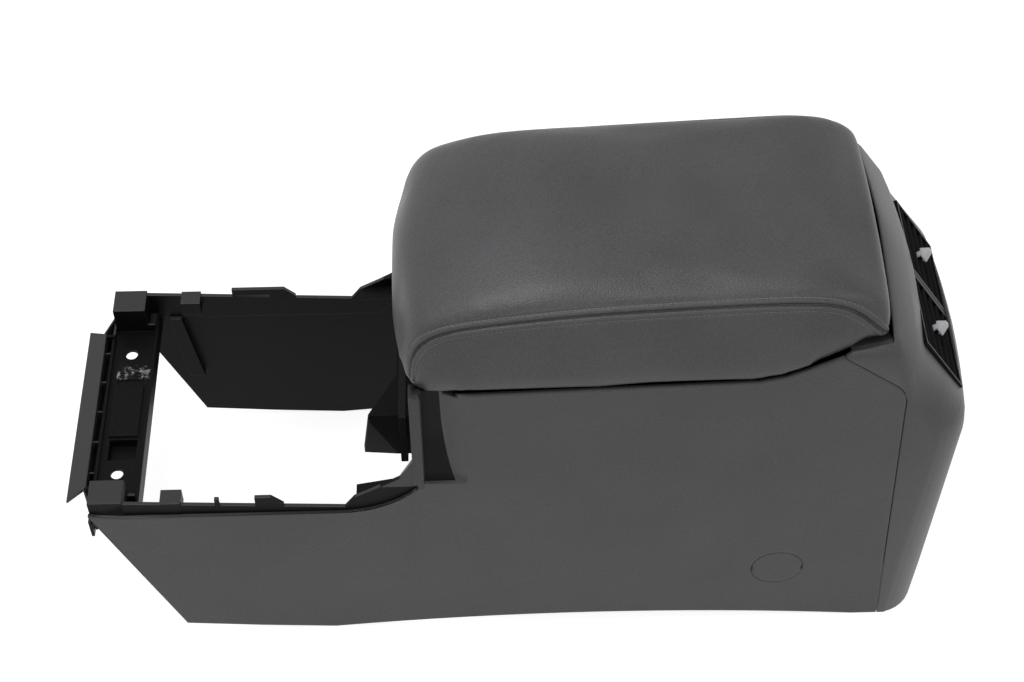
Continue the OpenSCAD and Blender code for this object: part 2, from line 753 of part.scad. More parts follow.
function lid_stations() = concat(
    [for (i = [0 : 6]) x_nose + 34 * (1 - cos(i * 12 + 9))],
    [for (i = [1 : 8]) x_nose + 30 + (x_lid_rear - 46 - x_nose - 30) * i / 8],
    [for (a = [20 : 14 : 90]) x_lid_rear - 44 + 44 * sin(a)]
);

pocket_half = 74;
pocket_top = belt_h + 36;
x_pocket = x_nose + 26;
x_pocket_rear = x_belt - 4;
arm_y = 44;
arm_w = 9;
ear_y = 52;
// Outer radius of the arms and ears around the hinge pin
head_r = 6;
slot_in = arm_y - arm_w / 2 - side_fit;
slot_out = ear_y + 4;
// Cuts from below start here, under the lid's lower edge
under = shelf_z - 12;

module armrest_pad() {
    color([0.3, 0.3, 0.31])
        difference() {
            loft([for (x = lid_stations()) lid_ring(x, 0)]);
            // Pocket that the carrier fills, its two rear arms, and room for the ears of the hinge
            box_from([x_pocket, -pocket_half, under], [x_pocket_rear, pocket_half, pocket_top]);
            box_from([x_nose + 3, -latch_w / 2 - 3, under], [x_pocket + 1, latch_w / 2 + 3, latch_pivot_z + 8]);
            mirrored() {
                box_from([x_pocket_rear - 6, slot_in, under], [x_hinge + head_r + 4.5, slot_out, hinge_h + head_r + 1]);
                box_from([x_hinge + head_r + 1, slot_in, under], [x_lid_rear + 1, slot_out, hinge_h - 3]);
            }
        }
}

base_t = 2.6;
base_half = pocket_half - side_fit;

module armrest_base() {
    low = lid_gap + belt_line(x_pocket_rear) + 1.5;
    color([0.14, 0.14, 0.15])
        difference() {
            union() {
                // Open tray with a plate below
                difference() {
                    box_from(
                        [x_pocket + side_fit, -base_half, low],
                        [x_pocket_rear - side_fit, base_half, pocket_top - side_fit]
                    );
                    box_from(
                        [x_pocket + side_fit + base_t, -base_half + base_t, low + base_t],
                        [x_pocket_rear - side_fit - base_t, base_half - base_t, pocket_top]
                    );
                }
                for (x = [x_pocket + 50 : 50 : x_pocket_rear - 20])
                    box_from([x, -pocket_half + 2, low], [x + 2, pocket_half - 2, pocket_top - 12]);
                // Arms to the hinge
                mirrored() {
                    translate([0, arm_y + arm_w / 2, 0]) rotate([90, 0, 0]) linear_extrude(arm_w)
                        polygon([
                            [x_pocket_rear - base_t - 1, low + 10], [x_pocket_rear - base_t - 1, pocket_top - side_fit],
                            [x_hinge, hinge_h + head_r], [x_hinge, hinge_h - head_r]
                        ]);
                    translate([x_hinge, arm_y + arm_w / 2, hinge_h]) rotate([90, 0, 0])
                        cylinder(r = head_r, h = arm_w, $fn = 48);
                }
                // Bosses of the latch pin
                mirrored()
                    box_from([x_latch - 5, latch_w / 2 + side_fit, low],
                        [x_pocket + side_fit + 1, latch_w / 2 + 2.6, latch_pivot_z + 4]);
            }
            mirrored()
                translate([x_hinge, arm_y + arm_w, hinge_h]) rotate([90, 0, 0])
                    cylinder(d = hinge_pin_d + 2 * run_fit, h = 2 * arm_w, $fn = 48);
            translate([x_latch, latch_w, latch_pivot_z]) rotate([90, 0, 0])
                cylinder(d = latch_pin_d + 2 * run_fit, h = 2 * latch_w, $fn = 32);
        }
}

module hinge_pin() {
    color([0.7, 0.71, 0.73])
        mirrored()
            translate([x_hinge, ear_y + bracket_t + 1.5, hinge_h]) rotate([90, 0, 0])
                cylinder(d = hinge_pin_d, h = ear_y + bracket_t + 1.5 - slot_in - side_fit, $fn = 48);
}

bracket_t = 2;
// Height where an ear starts to lean forward
ear_bend = shelf_z + (hinge_h - shelf_z) * 0.36;
bracket_holes = [for (x = [x_shelf + 12, x_cap - 10], y = [-34, 34]) [x, y]];

// Folded steel bracket: a foot plate with two ears
module hinge_bracket() {
    color([0.62, 0.63, 0.65])
        difference() {
            union() {
                box_from([x_shelf + 4, -ear_y - bracket_t, shelf_z], [x_cap - 4, ear_y + bracket_t, shelf_z + bracket_t]);
                mirrored()
                    translate([0, ear_y + bracket_t, 0]) rotate([90, 0, 0]) linear_extrude(bracket_t)
                        union() {
                            polygon([
                                [x_shelf + 5, shelf_z], [x_shelf + 26, shelf_z], [x_shelf + 16, ear_bend],
                                [x_hinge + head_r * 0.9, hinge_h - 2], [x_hinge - head_r + 0.2, hinge_h]
                            ]);
                            translate([x_hinge, hinge_h]) circle(r = head_r, $fn = 48);
                        }
            }
            for (p = bracket_holes) translate([p[0], p[1], shelf_z - 1]) cylinder(d = 4.2, h = 5, $fn = 32);
            translate([x_hinge, 80, hinge_h]) rotate([90, 0, 0]) cylinder(d = hinge_pin_d + 0.02, h = 160, $fn = 48);
        }
}

module pan_screw(len, d) {
    cylinder(d = d * 2, h = d * 0.7, $fn = 32);
    translate([0, 0, -len]) cylinder(d = d, h = len + 0.1, $fn = 32);
}

module bracket_screws() {
    color([0.55, 0.56, 0.58])
        for (p = bracket_holes) translate([p[0], p[1], shelf_z + bracket_t]) pan_screw(12, 4);
}

// Latch

latch_w = 24;
latch_pin_d = 3;
hook_fit = 0.35;
hook_z = shelf_z - 14;
x_latch = x_pocket - 8;
latch_pivot_z = belt_h + 16;
x_blade = x_bin - 7;

// Lever under the nose of the lid: a finger paddle in front and a hook that reaches down
module latch_lever() {
    color([0.16, 0.16, 0.17])
        difference() {
            union() {
                translate([x_latch, latch_w / 2, latch_pivot_z]) rotate([90, 0, 0])
                    cylinder(d = latch_pin_d + 5, h = latch_w, $fn = 32);
                mid_plate(latch_w)
                    polygon([
                        [x_latch - 3.5, latch_pivot_z], [x_latch + 3.5, latch_pivot_z],
                        [x_blade + 3, hook_z + 6], [x_blade + 3, hook_z + 1],
                        [x_bin - hook_fit, hook_z + 1], [x_bin - hook_fit, hook_z - 0.5],
                        [x_blade + 3, hook_z - 2.5], [x_blade, hook_z - 2.5], [x_blade, hook_z + 8]
                    ]);
                mid_plate(latch_w)
                    polygon([
                        [x_latch - 2, latch_pivot_z + 3], [x_nose + 7, latch_pivot_z + 1], [x_nose + 5, latch_pivot_z - 4],
                        [x_nose + 8, latch_pivot_z - 5], [x_latch, latch_pivot_z - 2]
                    ]);
            }
            translate([x_latch, latch_w, latch_pivot_z]) rotate([90, 0, 0])
                cylinder(d = latch_pin_d + 2 * run_fit, h = 2 * latch_w, $fn = 32);
        }
}

module latch_pin() {
    color([0.7, 0.71, 0.73])
        translate([x_latch, latch_w / 2 + 2.4, latch_pivot_z]) rotate([90, 0, 0])
            cylinder(d = latch_pin_d, h = latch_w + 4.8, $fn = 32);
}

// Small pieces

module plug() {
    on_wall() translate([plug_x, 0, plug_h]) rotate([-90, 0, 0])
        difference() {
            union() {
                cylinder(d = plug_d - 0.8, h = plug_seat - 0.02, $fn = 64);
                difference() {
                    cylinder(d = plug_hole - 0.4, h = wall_t + 2, $fn = 64);
                    translate([0, 0, plug_seat]) cylinder(d = plug_hole - 4, h = wall_t + 3, $fn = 64);
                }
            }
            // Pry notches at both sides
            for (side = [-1, 1])
                translate([side * plug_d / 2, 0, -0.1]) cube([3, 5, 1.2], center = true);
        }
}
module left_plug() { color([0.24, 0.24, 0.25]) plug(); }
module right_plug() { color([0.24, 0.24, 0.25]) mirror([0, 1, 0]) plug(); }

module side_screws() {
    color([0.55, 0.56, 0.58])
        mirrored() on_wall() translate([plug_x, cup_depth, plug_h]) rotate([90, 0, 0]) pan_screw(14, side_screw_d);
}

module cap_screws() {
    color([0.55, 0.56, 0.58])
        mirrored() on_wall() for (p = cap_holes)
            translate([p[0], wall_t + tongue_t, p[1]]) rotate([-90, 0, 0]) pan_screw(tongue_t, cap_screw_d);
}

x_stop = x_box + 30;

module lid_stops() {
    color([0.08, 0.08, 0.08])
        mirrored() translate([x_stop, bin_half - 1, bin_top])
            cylinder(d = 6, h = lid_low(x_stop) - bin_top - side_fit, $fn = 32);
}

clip_h = ledge_h + 8;

// Flat spring on the inner face of the neck
module clip() {
    y0 = wall_t + rim_t;
    color([0.2, 0.2, 0.21])
        on_wall() {
            translate([0, y0 + 9, 0]) rotate([90, 0, 0]) linear_extrude(8)
                polygon([
                    [x_neck - 3.2, clip_h], [x_neck - 3.2, clip_h + 14], [x_neck - 42, clip_h + 5.2], [x_neck - 42, clip_h + 4.2],
                    [x_neck - 24, clip_h + 6], [x_neck - 24, clip_h]
                ]);
        }
}
module left_clip() { clip(); }
module right_clip() { mirror([0, 1, 0]) clip(); }

console_body();
rear_cap();
storage_bin();
bin_mat();
air_duct();
duct_seal();
vent_housing();
for (i = [1 : louvres]) {
    louvre(-1, i);
    louvre(1, i);
}
for (i = [1 : vanes]) {
    vane(-1, i);
    vane(1, i);
}
knob(-1);  // left_knob
knob(1);  // right_knob
armrest_base();
armrest_pad();
hinge_bracket();
hinge_pin();
latch_lever();
latch_pin();
left_plug();
right_plug();
side_screws();
cap_screws();
bracket_screws();
lid_stops();
left_clip();
right_clip();
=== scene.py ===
import math

import bmesh
import bpy
import numpy as np
from mathutils import Matrix, Vector
from mathutils.bvhtree import BVHTree


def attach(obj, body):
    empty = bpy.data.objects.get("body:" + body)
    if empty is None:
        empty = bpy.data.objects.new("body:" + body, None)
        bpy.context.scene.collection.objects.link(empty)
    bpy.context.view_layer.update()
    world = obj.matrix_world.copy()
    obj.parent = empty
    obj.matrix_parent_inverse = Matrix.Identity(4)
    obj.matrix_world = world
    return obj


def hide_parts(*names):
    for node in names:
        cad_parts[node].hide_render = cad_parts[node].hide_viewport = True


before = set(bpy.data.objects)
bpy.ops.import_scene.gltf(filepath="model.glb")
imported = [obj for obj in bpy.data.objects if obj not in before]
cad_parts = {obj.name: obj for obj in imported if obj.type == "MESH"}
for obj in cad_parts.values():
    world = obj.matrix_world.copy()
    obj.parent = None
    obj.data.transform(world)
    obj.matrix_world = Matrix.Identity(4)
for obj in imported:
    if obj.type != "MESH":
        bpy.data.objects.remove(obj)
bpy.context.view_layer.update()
scene = bpy.context.scene
scene.view_settings.view_transform = "Standard"
print("frame loaded:", len(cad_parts), "nodes")


# Studio: camera at the photograph's place, pale floor, soft lamps
studio = {
    "eye": (-0.022, -0.8227, 1.2046),
    "right": (0.9996, -0.0294, 0.0),
    "up": (0.0227, 0.77279, 0.63426),
    "lens": 66.8,
    "filmWidth": 36,
    "ambient": 0.46,
    "floorWhite": 0.50,
    "floorGlow": 0.80,
    "floorHalf": 6,
    "floorDrop": 0.0006,
    "lamps": {  # place, target, width of the square panel, power
        "topPanel": ((-0.35, 0.0, 1.75), (0, 0, 0.2), 0.6, 9),
        "frontPanel": ((0.3, -1.9, 1.3), (0.1, 0, 0.2), 0.9, 5),
        "leftPanel": ((-1.45, 0.05, 1.3), (-0.1, 0, 0.25), 0.3, 2.6),
        "rightPanel": ((1.35, -1.05, 1.65), (0.2, 0, 0.2), 0.5, 4.5),
    },
}


def newObject(name, data):
    obj = bpy.data.objects.new(name, data)
    scene.collection.objects.link(obj)
    return obj


camData = bpy.data.cameras.new("studioCamera")
camData.lens = studio["lens"]
camData.sensor_width = studio["filmWidth"]
camData.clip_start, camData.clip_end = 0.05, 50
cam = newObject("studioCamera", camData)
right = Vector(studio["right"]).normalized()
up = Vector(studio["up"]).normalized()
back = right.cross(up).normalized()
up = back.cross(right)
turn = Matrix((right, up, back)).transposed().to_4x4()
cam.matrix_world = Matrix.Translation(studio["eye"]) @ turn
scene.camera = cam


def nodeMaterial(name):
    mat = bpy.data.materials.new(name)
    mat.use_nodes = True
    tree = mat.node_tree
    shader = tree.nodes["Principled BSDF"]
    return mat, tree, shader


def addNode(tree, kind, **values):
    node = tree.nodes.new(kind)
    for key, value in values.items():
        if hasattr(node, key) and key not in node.inputs:
            setattr(node, key, value)
        else:
            node.inputs[key].default_value = value
    return node


def squareLamp(name, place, target, width, power):
    lamp = bpy.data.lights.new(name, "AREA")
    lamp.shape = "RECTANGLE"
    lamp.size = lamp.size_y = width
    lamp.energy = power
    obj = newObject(name, lamp)
    obj.location = place
    obj.rotation_mode = "QUATERNION"
    obj.rotation_quaternion = (Vector(target) - Vector(place)).to_track_quat("-Z", "Y")


for lampName, (place, target, width, power) in studio["lamps"].items():
    squareLamp(lampName, place, target, width, power)


# The world is white to the camera and in reflections, and dimmer as a light
def makeWorld():
    world = bpy.data.worlds.new("studioWorld")
    world.use_nodes = True
    scene.world = world
    tree = world.node_tree
    path = addNode(tree, "ShaderNodeLightPath")
    seen = addNode(tree, "ShaderNodeMath", operation="MAXIMUM")
    tree.links.new(path.outputs["Is Camera Ray"], seen.inputs[0])
    tree.links.new(path.outputs["Is Transmission Ray"], seen.inputs[1])
    shiny = addNode(tree, "ShaderNodeMath", operation="MAXIMUM")
    tree.links.new(seen.outputs[0], shiny.inputs[0])
    tree.links.new(path.outputs["Is Glossy Ray"], shiny.inputs[1])
    level = addNode(tree, "ShaderNodeMapRange")
    level.inputs["To Min"].default_value = studio["ambient"]
    level.inputs["To Max"].default_value = 1.0
    tree.links.new(shiny.outputs[0], level.inputs["Value"])
    background = tree.nodes["Background"]
    background.inputs["Color"].default_value = (1, 1, 1, 1)
    tree.links.new(level.outputs["Result"], background.inputs["Strength"])


def makeFloor():
    h = studio["floorHalf"]
    mesh = bpy.data.meshes.new("studioFloor")
    mesh.from_pydata([(-h, -h, 0), (h, -h, 0), (h, h, 0), (-h, h, 0)], [], [(0, 1, 2, 3)])
    floor = newObject("studioFloor", mesh)
    floor.location.z = -studio["floorDrop"]
    paper, tree, shader = nodeMaterial("studioPaper")
    shader.inputs["Base Color"].default_value = (studio["floorWhite"],) * 3 + (1,)
    shader.inputs["Roughness"].default_value = 0.9
    shader.inputs["Specular IOR Level"].default_value = 0.0
    shader.inputs["Emission Color"].default_value = (1, 1, 1, 1)
    path = addNode(tree, "ShaderNodeLightPath")
    glow = addNode(tree, "ShaderNodeMath", operation="MAXIMUM")
    tree.links.new(path.outputs["Is Camera Ray"], glow.inputs[0])
    tree.links.new(path.outputs["Is Glossy Ray"], glow.inputs[1])
    glowLevel = addNode(tree, "ShaderNodeMath", operation="MULTIPLY")
    glowLevel.inputs[1].default_value = studio["floorGlow"]
    tree.links.new(glow.outputs[0], glowLevel.inputs[0])
    tree.links.new(glowLevel.outputs[0], shader.inputs["Emission Strength"])
    mesh.materials.append(paper)


makeWorld()
makeFloor()
print("studio ready")


# Shared shader effects
def newGroup(name, inputs, outputs):
    group = bpy.data.node_groups.new(name, "ShaderNodeTree")
    for label, value in inputs:
        kind = "NodeSocketColor" if isinstance(value, tuple) else "NodeSocketFloat"
        socket = group.interface.new_socket(label, in_out="INPUT", socket_type=kind)
        socket.default_value = value
    for label, kind in outputs:
        group.interface.new_socket(label, in_out="OUTPUT", socket_type=kind)
    return group, addNode(group, "NodeGroupInput"), addNode(group, "NodeGroupOutput")


# Pebbled grain of moulded plastic and of leather: height, and a shade that follows it
def makeGrainGroup():
    group, gin, gout = newGroup(
        "pebbleGrain",
        [
            ("Pebbles per metre", 900.0), ("Cloudiness", 0.5),
            ("Tone", (0.07, 0.07, 0.075, 1)), ("Tone spread", 0.12),
        ],
        [("Height", "NodeSocketFloat"), ("Colour", "NodeSocketColor"), ("Sheen mask", "NodeSocketFloat")],
    )
    link = group.links.new
    coord = addNode(group, "ShaderNodeTexCoord")
    warp = addNode(group, "ShaderNodeTexNoise", Scale=160.0, Detail=2.0)
    mixed = addNode(group, "ShaderNodeMixRGB", blend_type="ADD")
    mixed.inputs["Fac"].default_value = 0.0016
    link(coord.outputs["Object"], warp.inputs["Vector"])
    link(coord.outputs["Object"], mixed.inputs["Color1"])
    link(warp.outputs["Color"], mixed.inputs["Color2"])
    cells = addNode(group, "ShaderNodeTexVoronoi", feature="SMOOTH_F1")
    cells.inputs["Smoothness"].default_value = 0.35
    link(mixed.outputs["Color"], cells.inputs["Vector"])
    link(gin.outputs["Pebbles per metre"], cells.inputs["Scale"])
    fine = addNode(group, "ShaderNodeTexNoise", Detail=3.0)
    fineScale = addNode(group, "ShaderNodeMath", operation="MULTIPLY")
    fineScale.inputs[1].default_value = 1.1
    link(gin.outputs["Pebbles per metre"], fineScale.inputs[0])
    link(fineScale.outputs[0], fine.inputs["Scale"])
    link(coord.outputs["Object"], fine.inputs["Vector"])
    invert = addNode(group, "ShaderNodeMath", operation="SUBTRACT")
    invert.inputs[0].default_value = 1.0
    link(cells.outputs["Distance"], invert.inputs[1])
    finePart = addNode(group, "ShaderNodeMath", operation="MULTIPLY_ADD")
    finePart.inputs[1].default_value = 0.35
    link(fine.outputs["Fac"], finePart.inputs[0])
    link(invert.outputs[0], finePart.inputs[2])
    link(finePart.outputs[0], gout.inputs["Height"])
    cloud = addNode(group, "ShaderNodeTexNoise", Scale=14.0, Detail=4.0)
    link(coord.outputs["Object"], cloud.inputs["Vector"])
    both = addNode(group, "ShaderNodeMix", data_type="FLOAT")
    link(gin.outputs["Cloudiness"], both.inputs[0])
    link(fine.outputs["Fac"], both.inputs[2])
    link(cloud.outputs["Fac"], both.inputs[3])
    swing = addNode(group, "ShaderNodeMath", operation="SUBTRACT")
    swing.inputs[1].default_value = 0.5
    link(both.outputs[0], swing.inputs[0])
    scaled = addNode(group, "ShaderNodeMath", operation="MULTIPLY")
    link(swing.outputs[0], scaled.inputs[0])
    link(gin.outputs["Tone spread"], scaled.inputs[1])
    gain = addNode(group, "ShaderNodeMath", operation="MULTIPLY_ADD")
    gain.inputs[1].default_value = 2.0
    gain.inputs[2].default_value = 1.0
    link(scaled.outputs[0], gain.inputs[0])
    tone = addNode(group, "ShaderNodeVectorMath", operation="SCALE")
    link(gin.outputs["Tone"], tone.inputs[0])
    link(gain.outputs[0], tone.inputs["Scale"])
    link(tone.outputs[0], gout.inputs["Colour"])
    link(both.outputs[0], gout.inputs["Sheen mask"])
    return group


# Rubbed edges and dust: a mask that is 1 on worn edges, and another for dusty upward faces
def makeWearGroup():
    group, gin, gout = newGroup(
        "edgeWear",
        [("Edge width", 0.0012), ("Patchiness", 60.0), ("Dust", 0.5)],
        [("Edges", "NodeSocketFloat"), ("Dust", "NodeSocketFloat")],
    )
    link = group.links.new
    coord = addNode(group, "ShaderNodeTexCoord")
    bevel = addNode(group, "ShaderNodeBevel")
    bevel.samples = 4
    geometry = addNode(group, "ShaderNodeNewGeometry")
    link(gin.outputs["Edge width"], bevel.inputs["Radius"])
    dot = addNode(group, "ShaderNodeVectorMath", operation="DOT_PRODUCT")
    link(bevel.outputs["Normal"], dot.inputs[0])
    link(geometry.outputs["Normal"], dot.inputs[1])
    edge = addNode(group, "ShaderNodeMapRange")
    edge.inputs["From Min"].default_value = 0.99
    edge.inputs["From Max"].default_value = 0.8
    link(dot.outputs["Value"], edge.inputs["Value"])
    patch = addNode(group, "ShaderNodeTexNoise", Detail=5.0)
    link(coord.outputs["Object"], patch.inputs["Vector"])
    link(gin.outputs["Patchiness"], patch.inputs["Scale"])
    broken = addNode(group, "ShaderNodeMath", operation="MULTIPLY")
    link(edge.outputs["Result"], broken.inputs[0])
    link(patch.outputs["Fac"], broken.inputs[1])
    link(broken.outputs[0], gout.inputs["Edges"])
    split = addNode(group, "ShaderNodeSeparateXYZ")
    link(geometry.outputs["Normal"], split.inputs[0])
    upward = addNode(group, "ShaderNodeMapRange")
    upward.inputs["From Min"].default_value = 0.2
    link(split.outputs["Z"], upward.inputs["Value"])
    specks = addNode(group, "ShaderNodeTexNoise", Scale=420.0, Detail=4.0)
    link(coord.outputs["Object"], specks.inputs["Vector"])
    speckMask = addNode(group, "ShaderNodeMapRange")
    speckMask.inputs["From Min"].default_value = 0.55
    speckMask.inputs["From Max"].default_value = 0.75
    link(specks.outputs["Fac"], speckMask.inputs["Value"])
    dusty = addNode(group, "ShaderNodeMath", operation="MULTIPLY")
    link(upward.outputs["Result"], dusty.inputs[0])
    link(speckMask.outputs["Result"], dusty.inputs[1])
    dustOut = addNode(group, "ShaderNodeMath", operation="MULTIPLY")
    link(dusty.outputs[0], dustOut.inputs[0])
    link(gin.outputs["Dust"], dustOut.inputs[1])
    link(dustOut.outputs[0], gout.inputs["Dust"])
    return group


grainGroup = makeGrainGroup()
wearGroup = makeWearGroup()


def placeGroup(tree, group, **values):
    node = tree.nodes.new("ShaderNodeGroup")
    node.node_tree = group
    for label, value in values.items():
        node.inputs[label.replace("_", " ")].default_value = value
    return node


finishes = {
    "bodyPlastic": {
        "tone": (0.0555, 0.0540, 0.0570), "spread": 0.75, "pebbles": 900.0, "bump": 0.00012, "shine": 0.3,
        "rough": 0.42, "wearTone": (0.065, 0.065, 0.068), "dust": 0.02, "soft": 0.0024,
    },
    # This near-black finish also covers the neck groove's floor, where its darkness is painted shade
    "innerPlasticAndGrooveShade": {
        "tone": (0.0042, 0.0040, 0.0040), "spread": 0.9, "pebbles": 620.0, "bump": 0.00005, "shine": 0.07,
        "rough": 0.4, "wearTone": (0.016, 0.016, 0.016), "dust": 0.012, "soft": 0.0007,
    },
    "neckPlastic": {
        "tone": (0.024, 0.024, 0.025), "spread": 0.3, "pebbles": 900.0, "bump": 0.00004, "shine": 0.3,
        "rough": 0.34, "wearTone": (0.03, 0.03, 0.03), "dust": 0.0, "soft": 0.0012,
    },
    "padLeather": {
        "tone": (0.0475, 0.0455, 0.0485), "spread": 1.3, "pebbles": 1000.0, "bump": 0.00014, "shine": 0.42,
        "rough": 0.40, "wearTone": (0.08, 0.08, 0.08), "dust": 0.0, "soft": 0.0004,
    },
    "softRubber": {
        "tone": (0.009, 0.009, 0.009), "spread": 0.3, "pebbles": 700.0, "bump": 0.00002, "shine": 0.2,
        "rough": 0.8, "wearTone": (0.02, 0.02, 0.02), "dust": 0.02, "soft": 0.0005,
    },
    "knobSilver": {
        "tone": (0.50, 0.51, 0.53), "spread": 0.05, "pebbles": 3000.0, "bump": 0.00001, "shine": 0.5,
        "rough": 0.32, "wearTone": (0.3, 0.3, 0.3), "dust": 0.02, "soft": 0.0004,
    },
    "zincSteel": {
        "tone": (0.42, 0.43, 0.45), "spread": 0.2, "pebbles": 900.0, "bump": 0.00001, "shine": 0.5,
        "rough": 0.35, "wearTone": (0.2, 0.19, 0.17), "dust": 0.1, "soft": 0.0003,
    },
    "seamThread": {
        "tone": (0.145, 0.145, 0.15), "spread": 0.2, "pebbles": 4000.0, "bump": 0.00006, "shine": 0.4,
        "rough": 0.55, "wearTone": (0.2, 0.2, 0.2), "dust": 0.0, "soft": 0.0001,
    },
}


# What all finishes share: clouding of the tone, rubbed edges, dust, and how far the roughness swings
common = {
    "cloudiness": 0.35, "edgeWidth": 0.0009, "patchiness": 70.0, "dustTone": (0.30, 0.29, 0.27, 1),
    "smoother": 0.05, "rougher": 0.07, "bevelSamples": 6,
}


def makeFinish(name):
    f = finishes[name]
    mat, tree, shader = nodeMaterial(name)
    link = tree.links.new
    grain = placeGroup(
        tree, grainGroup, Pebbles_per_metre=f["pebbles"], Cloudiness=common["cloudiness"],
        Tone=f["tone"] + (1,), Tone_spread=f["spread"],
    )
    wear = placeGroup(
        tree, wearGroup, Edge_width=common["edgeWidth"], Patchiness=common["patchiness"], Dust=f["dust"],
    )
    worn = addNode(tree, "ShaderNodeMixRGB")
    worn.inputs["Color2"].default_value = f["wearTone"] + (1,)
    link(wear.outputs["Edges"], worn.inputs["Fac"])
    link(grain.outputs["Colour"], worn.inputs["Color1"])
    dusted = addNode(tree, "ShaderNodeMixRGB")
    dusted.inputs["Color2"].default_value = common["dustTone"]
    link(wear.outputs["Dust"], dusted.inputs["Fac"])
    link(worn.outputs["Color"], dusted.inputs["Color1"])
    link(dusted.outputs["Color"], shader.inputs["Base Color"])
    rough = addNode(tree, "ShaderNodeMapRange")
    rough.inputs["To Min"].default_value = f["rough"] - common["smoother"]
    rough.inputs["To Max"].default_value = f["rough"] + common["rougher"]
    link(grain.outputs["Sheen mask"], rough.inputs["Value"])
    link(rough.outputs["Result"], shader.inputs["Roughness"])
    bump = addNode(tree, "ShaderNodeBump")
    bump.inputs["Distance"].default_value = f["bump"]
    bump.inputs["Strength"].default_value = 1.0
    link(grain.outputs["Height"], bump.inputs["Height"])
    rounded = addNode(tree, "ShaderNodeBevel")
    rounded.samples = common["bevelSamples"]
    rounded.inputs["Radius"].default_value = f["soft"]
    link(rounded.outputs["Normal"], bump.inputs["Normal"])
    link(bump.outputs["Normal"], shader.inputs["Normal"])
    shader.inputs["Specular IOR Level"].default_value = f["shine"]
    if name == "zincSteel":
        shader.inputs["Metallic"].default_value = 1.0
    return mat


materials = {name: makeFinish(name) for name in finishes}
print("materials ready")


def giveMaterial(obj, mat):
    obj.data.materials.clear()
    obj.data.materials.append(mat)


# CAD nodes that keep their own shape
plainNodes = {
    "storage_bin": "innerPlasticAndGrooveShade", "air_duct": "innerPlasticAndGrooveShade", "vent_housing": "innerPlasticAndGrooveShade",
    "armrest_base": "innerPlasticAndGrooveShade", "latch_lever": "innerPlasticAndGrooveShade", "bin_mat": "softRubber",
    "duct_seal": "softRubber", "lid_stops": "softRubber", "left_knob": "knobSilver",
    "right_knob": "knobSilver", "hinge_bracket": "zincSteel", "hinge_pin": "zincSteel",
    "latch_pin": "zincSteel", "side_screws": "zincSteel", "cap_screws": "zincSteel",
    "bracket_screws": "zincSteel", "left_clip": "innerPlasticAndGrooveShade", "right_clip": "innerPlasticAndGrooveShade",
    "left_plug": "bodyPlastic", "right_plug": "bodyPlastic",
}
for nodeName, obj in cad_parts.items():
    finish = plainNodes.get(nodeName)
    if finish is None and ("louvre" in nodeName or "vane" in nodeName):
        finish = "innerPlasticAndGrooveShade"
    if finish:
        giveMaterial(obj, materials[finish])


def smoothShading(mesh):
    for poly in mesh.polygons:
        poly.use_smooth = True


def meshFromRings(name, rings):
    n = len(rings[0])
    points = [p for ring in rings for p in ring]
    faces = []
    for i in range(len(rings) - 1):
        for j in range(n):
            k = (j + 1) % n
            faces.append((i * n + j, i * n + k, (i + 1) * n + k, (i + 1) * n + j))
    faces.append(tuple(range(n - 1, -1, -1)))
    faces.append(tuple(range((len(rings) - 1) * n, len(rings) * n)))
    mesh = bpy.data.meshes.new(name)
    mesh.from_pydata(points, [], faces)
    mesh.validate()
    return newObject(name, mesh)


def applyModifier(obj, modifier):
    bpy.context.view_layer.objects.active = obj
    obj.select_set(True)
    bpy.ops.object.modifier_apply(modifier=modifier.name)
    obj.select_set(False)


def booleanWith(obj, tool, operation):
    bm = bmesh.new()
    bm.from_mesh(tool.data)
    bmesh.ops.recalc_face_normals(bm, faces=bm.faces)
    bm.to_mesh(tool.data)
    bm.free()
    cut = obj.modifiers.new(operation.lower(), "BOOLEAN")
    cut.operation = operation
    cut.object = tool
    cut.solver = "EXACT"
    applyModifier(obj, cut)
    bpy.data.objects.remove(tool)


# A softened copy of a moulded CAD node: welded, rounded edges, smooth shading
moulded = {"weld": 2e-6, "flatAngle": 0.6, "segments": 2, "sharpAngle": 38}


def softenedCopy(nodeName, pieceName, bodyName, radius, roundAngle=32):
    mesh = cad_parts[nodeName].data.copy()
    mesh.name = pieceName
    obj = newObject(pieceName, mesh)
    bm = bmesh.new()
    bm.from_mesh(mesh)
    bmesh.ops.remove_doubles(bm, verts=bm.verts, dist=moulded["weld"])
    flat = math.radians(moulded["flatAngle"])
    bmesh.ops.dissolve_limit(bm, angle_limit=flat, verts=bm.verts, edges=bm.edges)
    bmesh.ops.recalc_face_normals(bm, faces=bm.faces)
    bm.to_mesh(mesh)
    bm.free()
    mesh.materials.clear()
    bevel = obj.modifiers.new("roundEdges", "BEVEL")
    bevel.width = radius
    bevel.segments = moulded["segments"]
    bevel.limit_method = "ANGLE"
    bevel.angle_limit = math.radians(roundAngle)
    bevel.use_clamp_overlap = True
    bevel.harden_normals = False
    applyModifier(obj, bevel)
    smoothShading(mesh)
    mesh.set_sharp_from_angle(angle=math.radians(moulded["sharpAngle"]))
    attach(obj, bodyName)
    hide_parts(nodeName)
    return obj


console = {"lean": math.radians(1.4), "halfWidth": 0.100, "skin": 0.0017, "edge": 0.0007, "sharpAngle": 30}
consoleShell = softenedCopy("console_body", "consoleShell", "console", console["edge"])


# How far out the leaning side wall is at a height
def wallAt(z):
    return console["halfWidth"] - z * math.tan(console["lean"])


# The groove in the neck: flat floor, a crease that swings back toward its foot, and a swept rear wall
groove = {
    "front": -0.0588, "foot": 0.1710, "top": 0.2745, "depth": 0.0068, "footShare": 0.34, "deepensBy": 2.5,
    "crease": -0.0465, "creaseSwing": 0.0085, "edge": -0.0250, "edgeSwing": 0.0060,
    "steps": 9, "levels": 12, "cutPast": 0.004,
    "skin": 0.0022, "skinTop": 0.2570, "skinMiddle": 0.02, "skinSunk": 0.0004,
}


def grooveHeight(z):
    return (z - groove["foot"]) / (groove["top"] - groove["foot"])


def grooveCrease(u):
    return groove["crease"] + groove["creaseSwing"] * (1 - u) ** 3


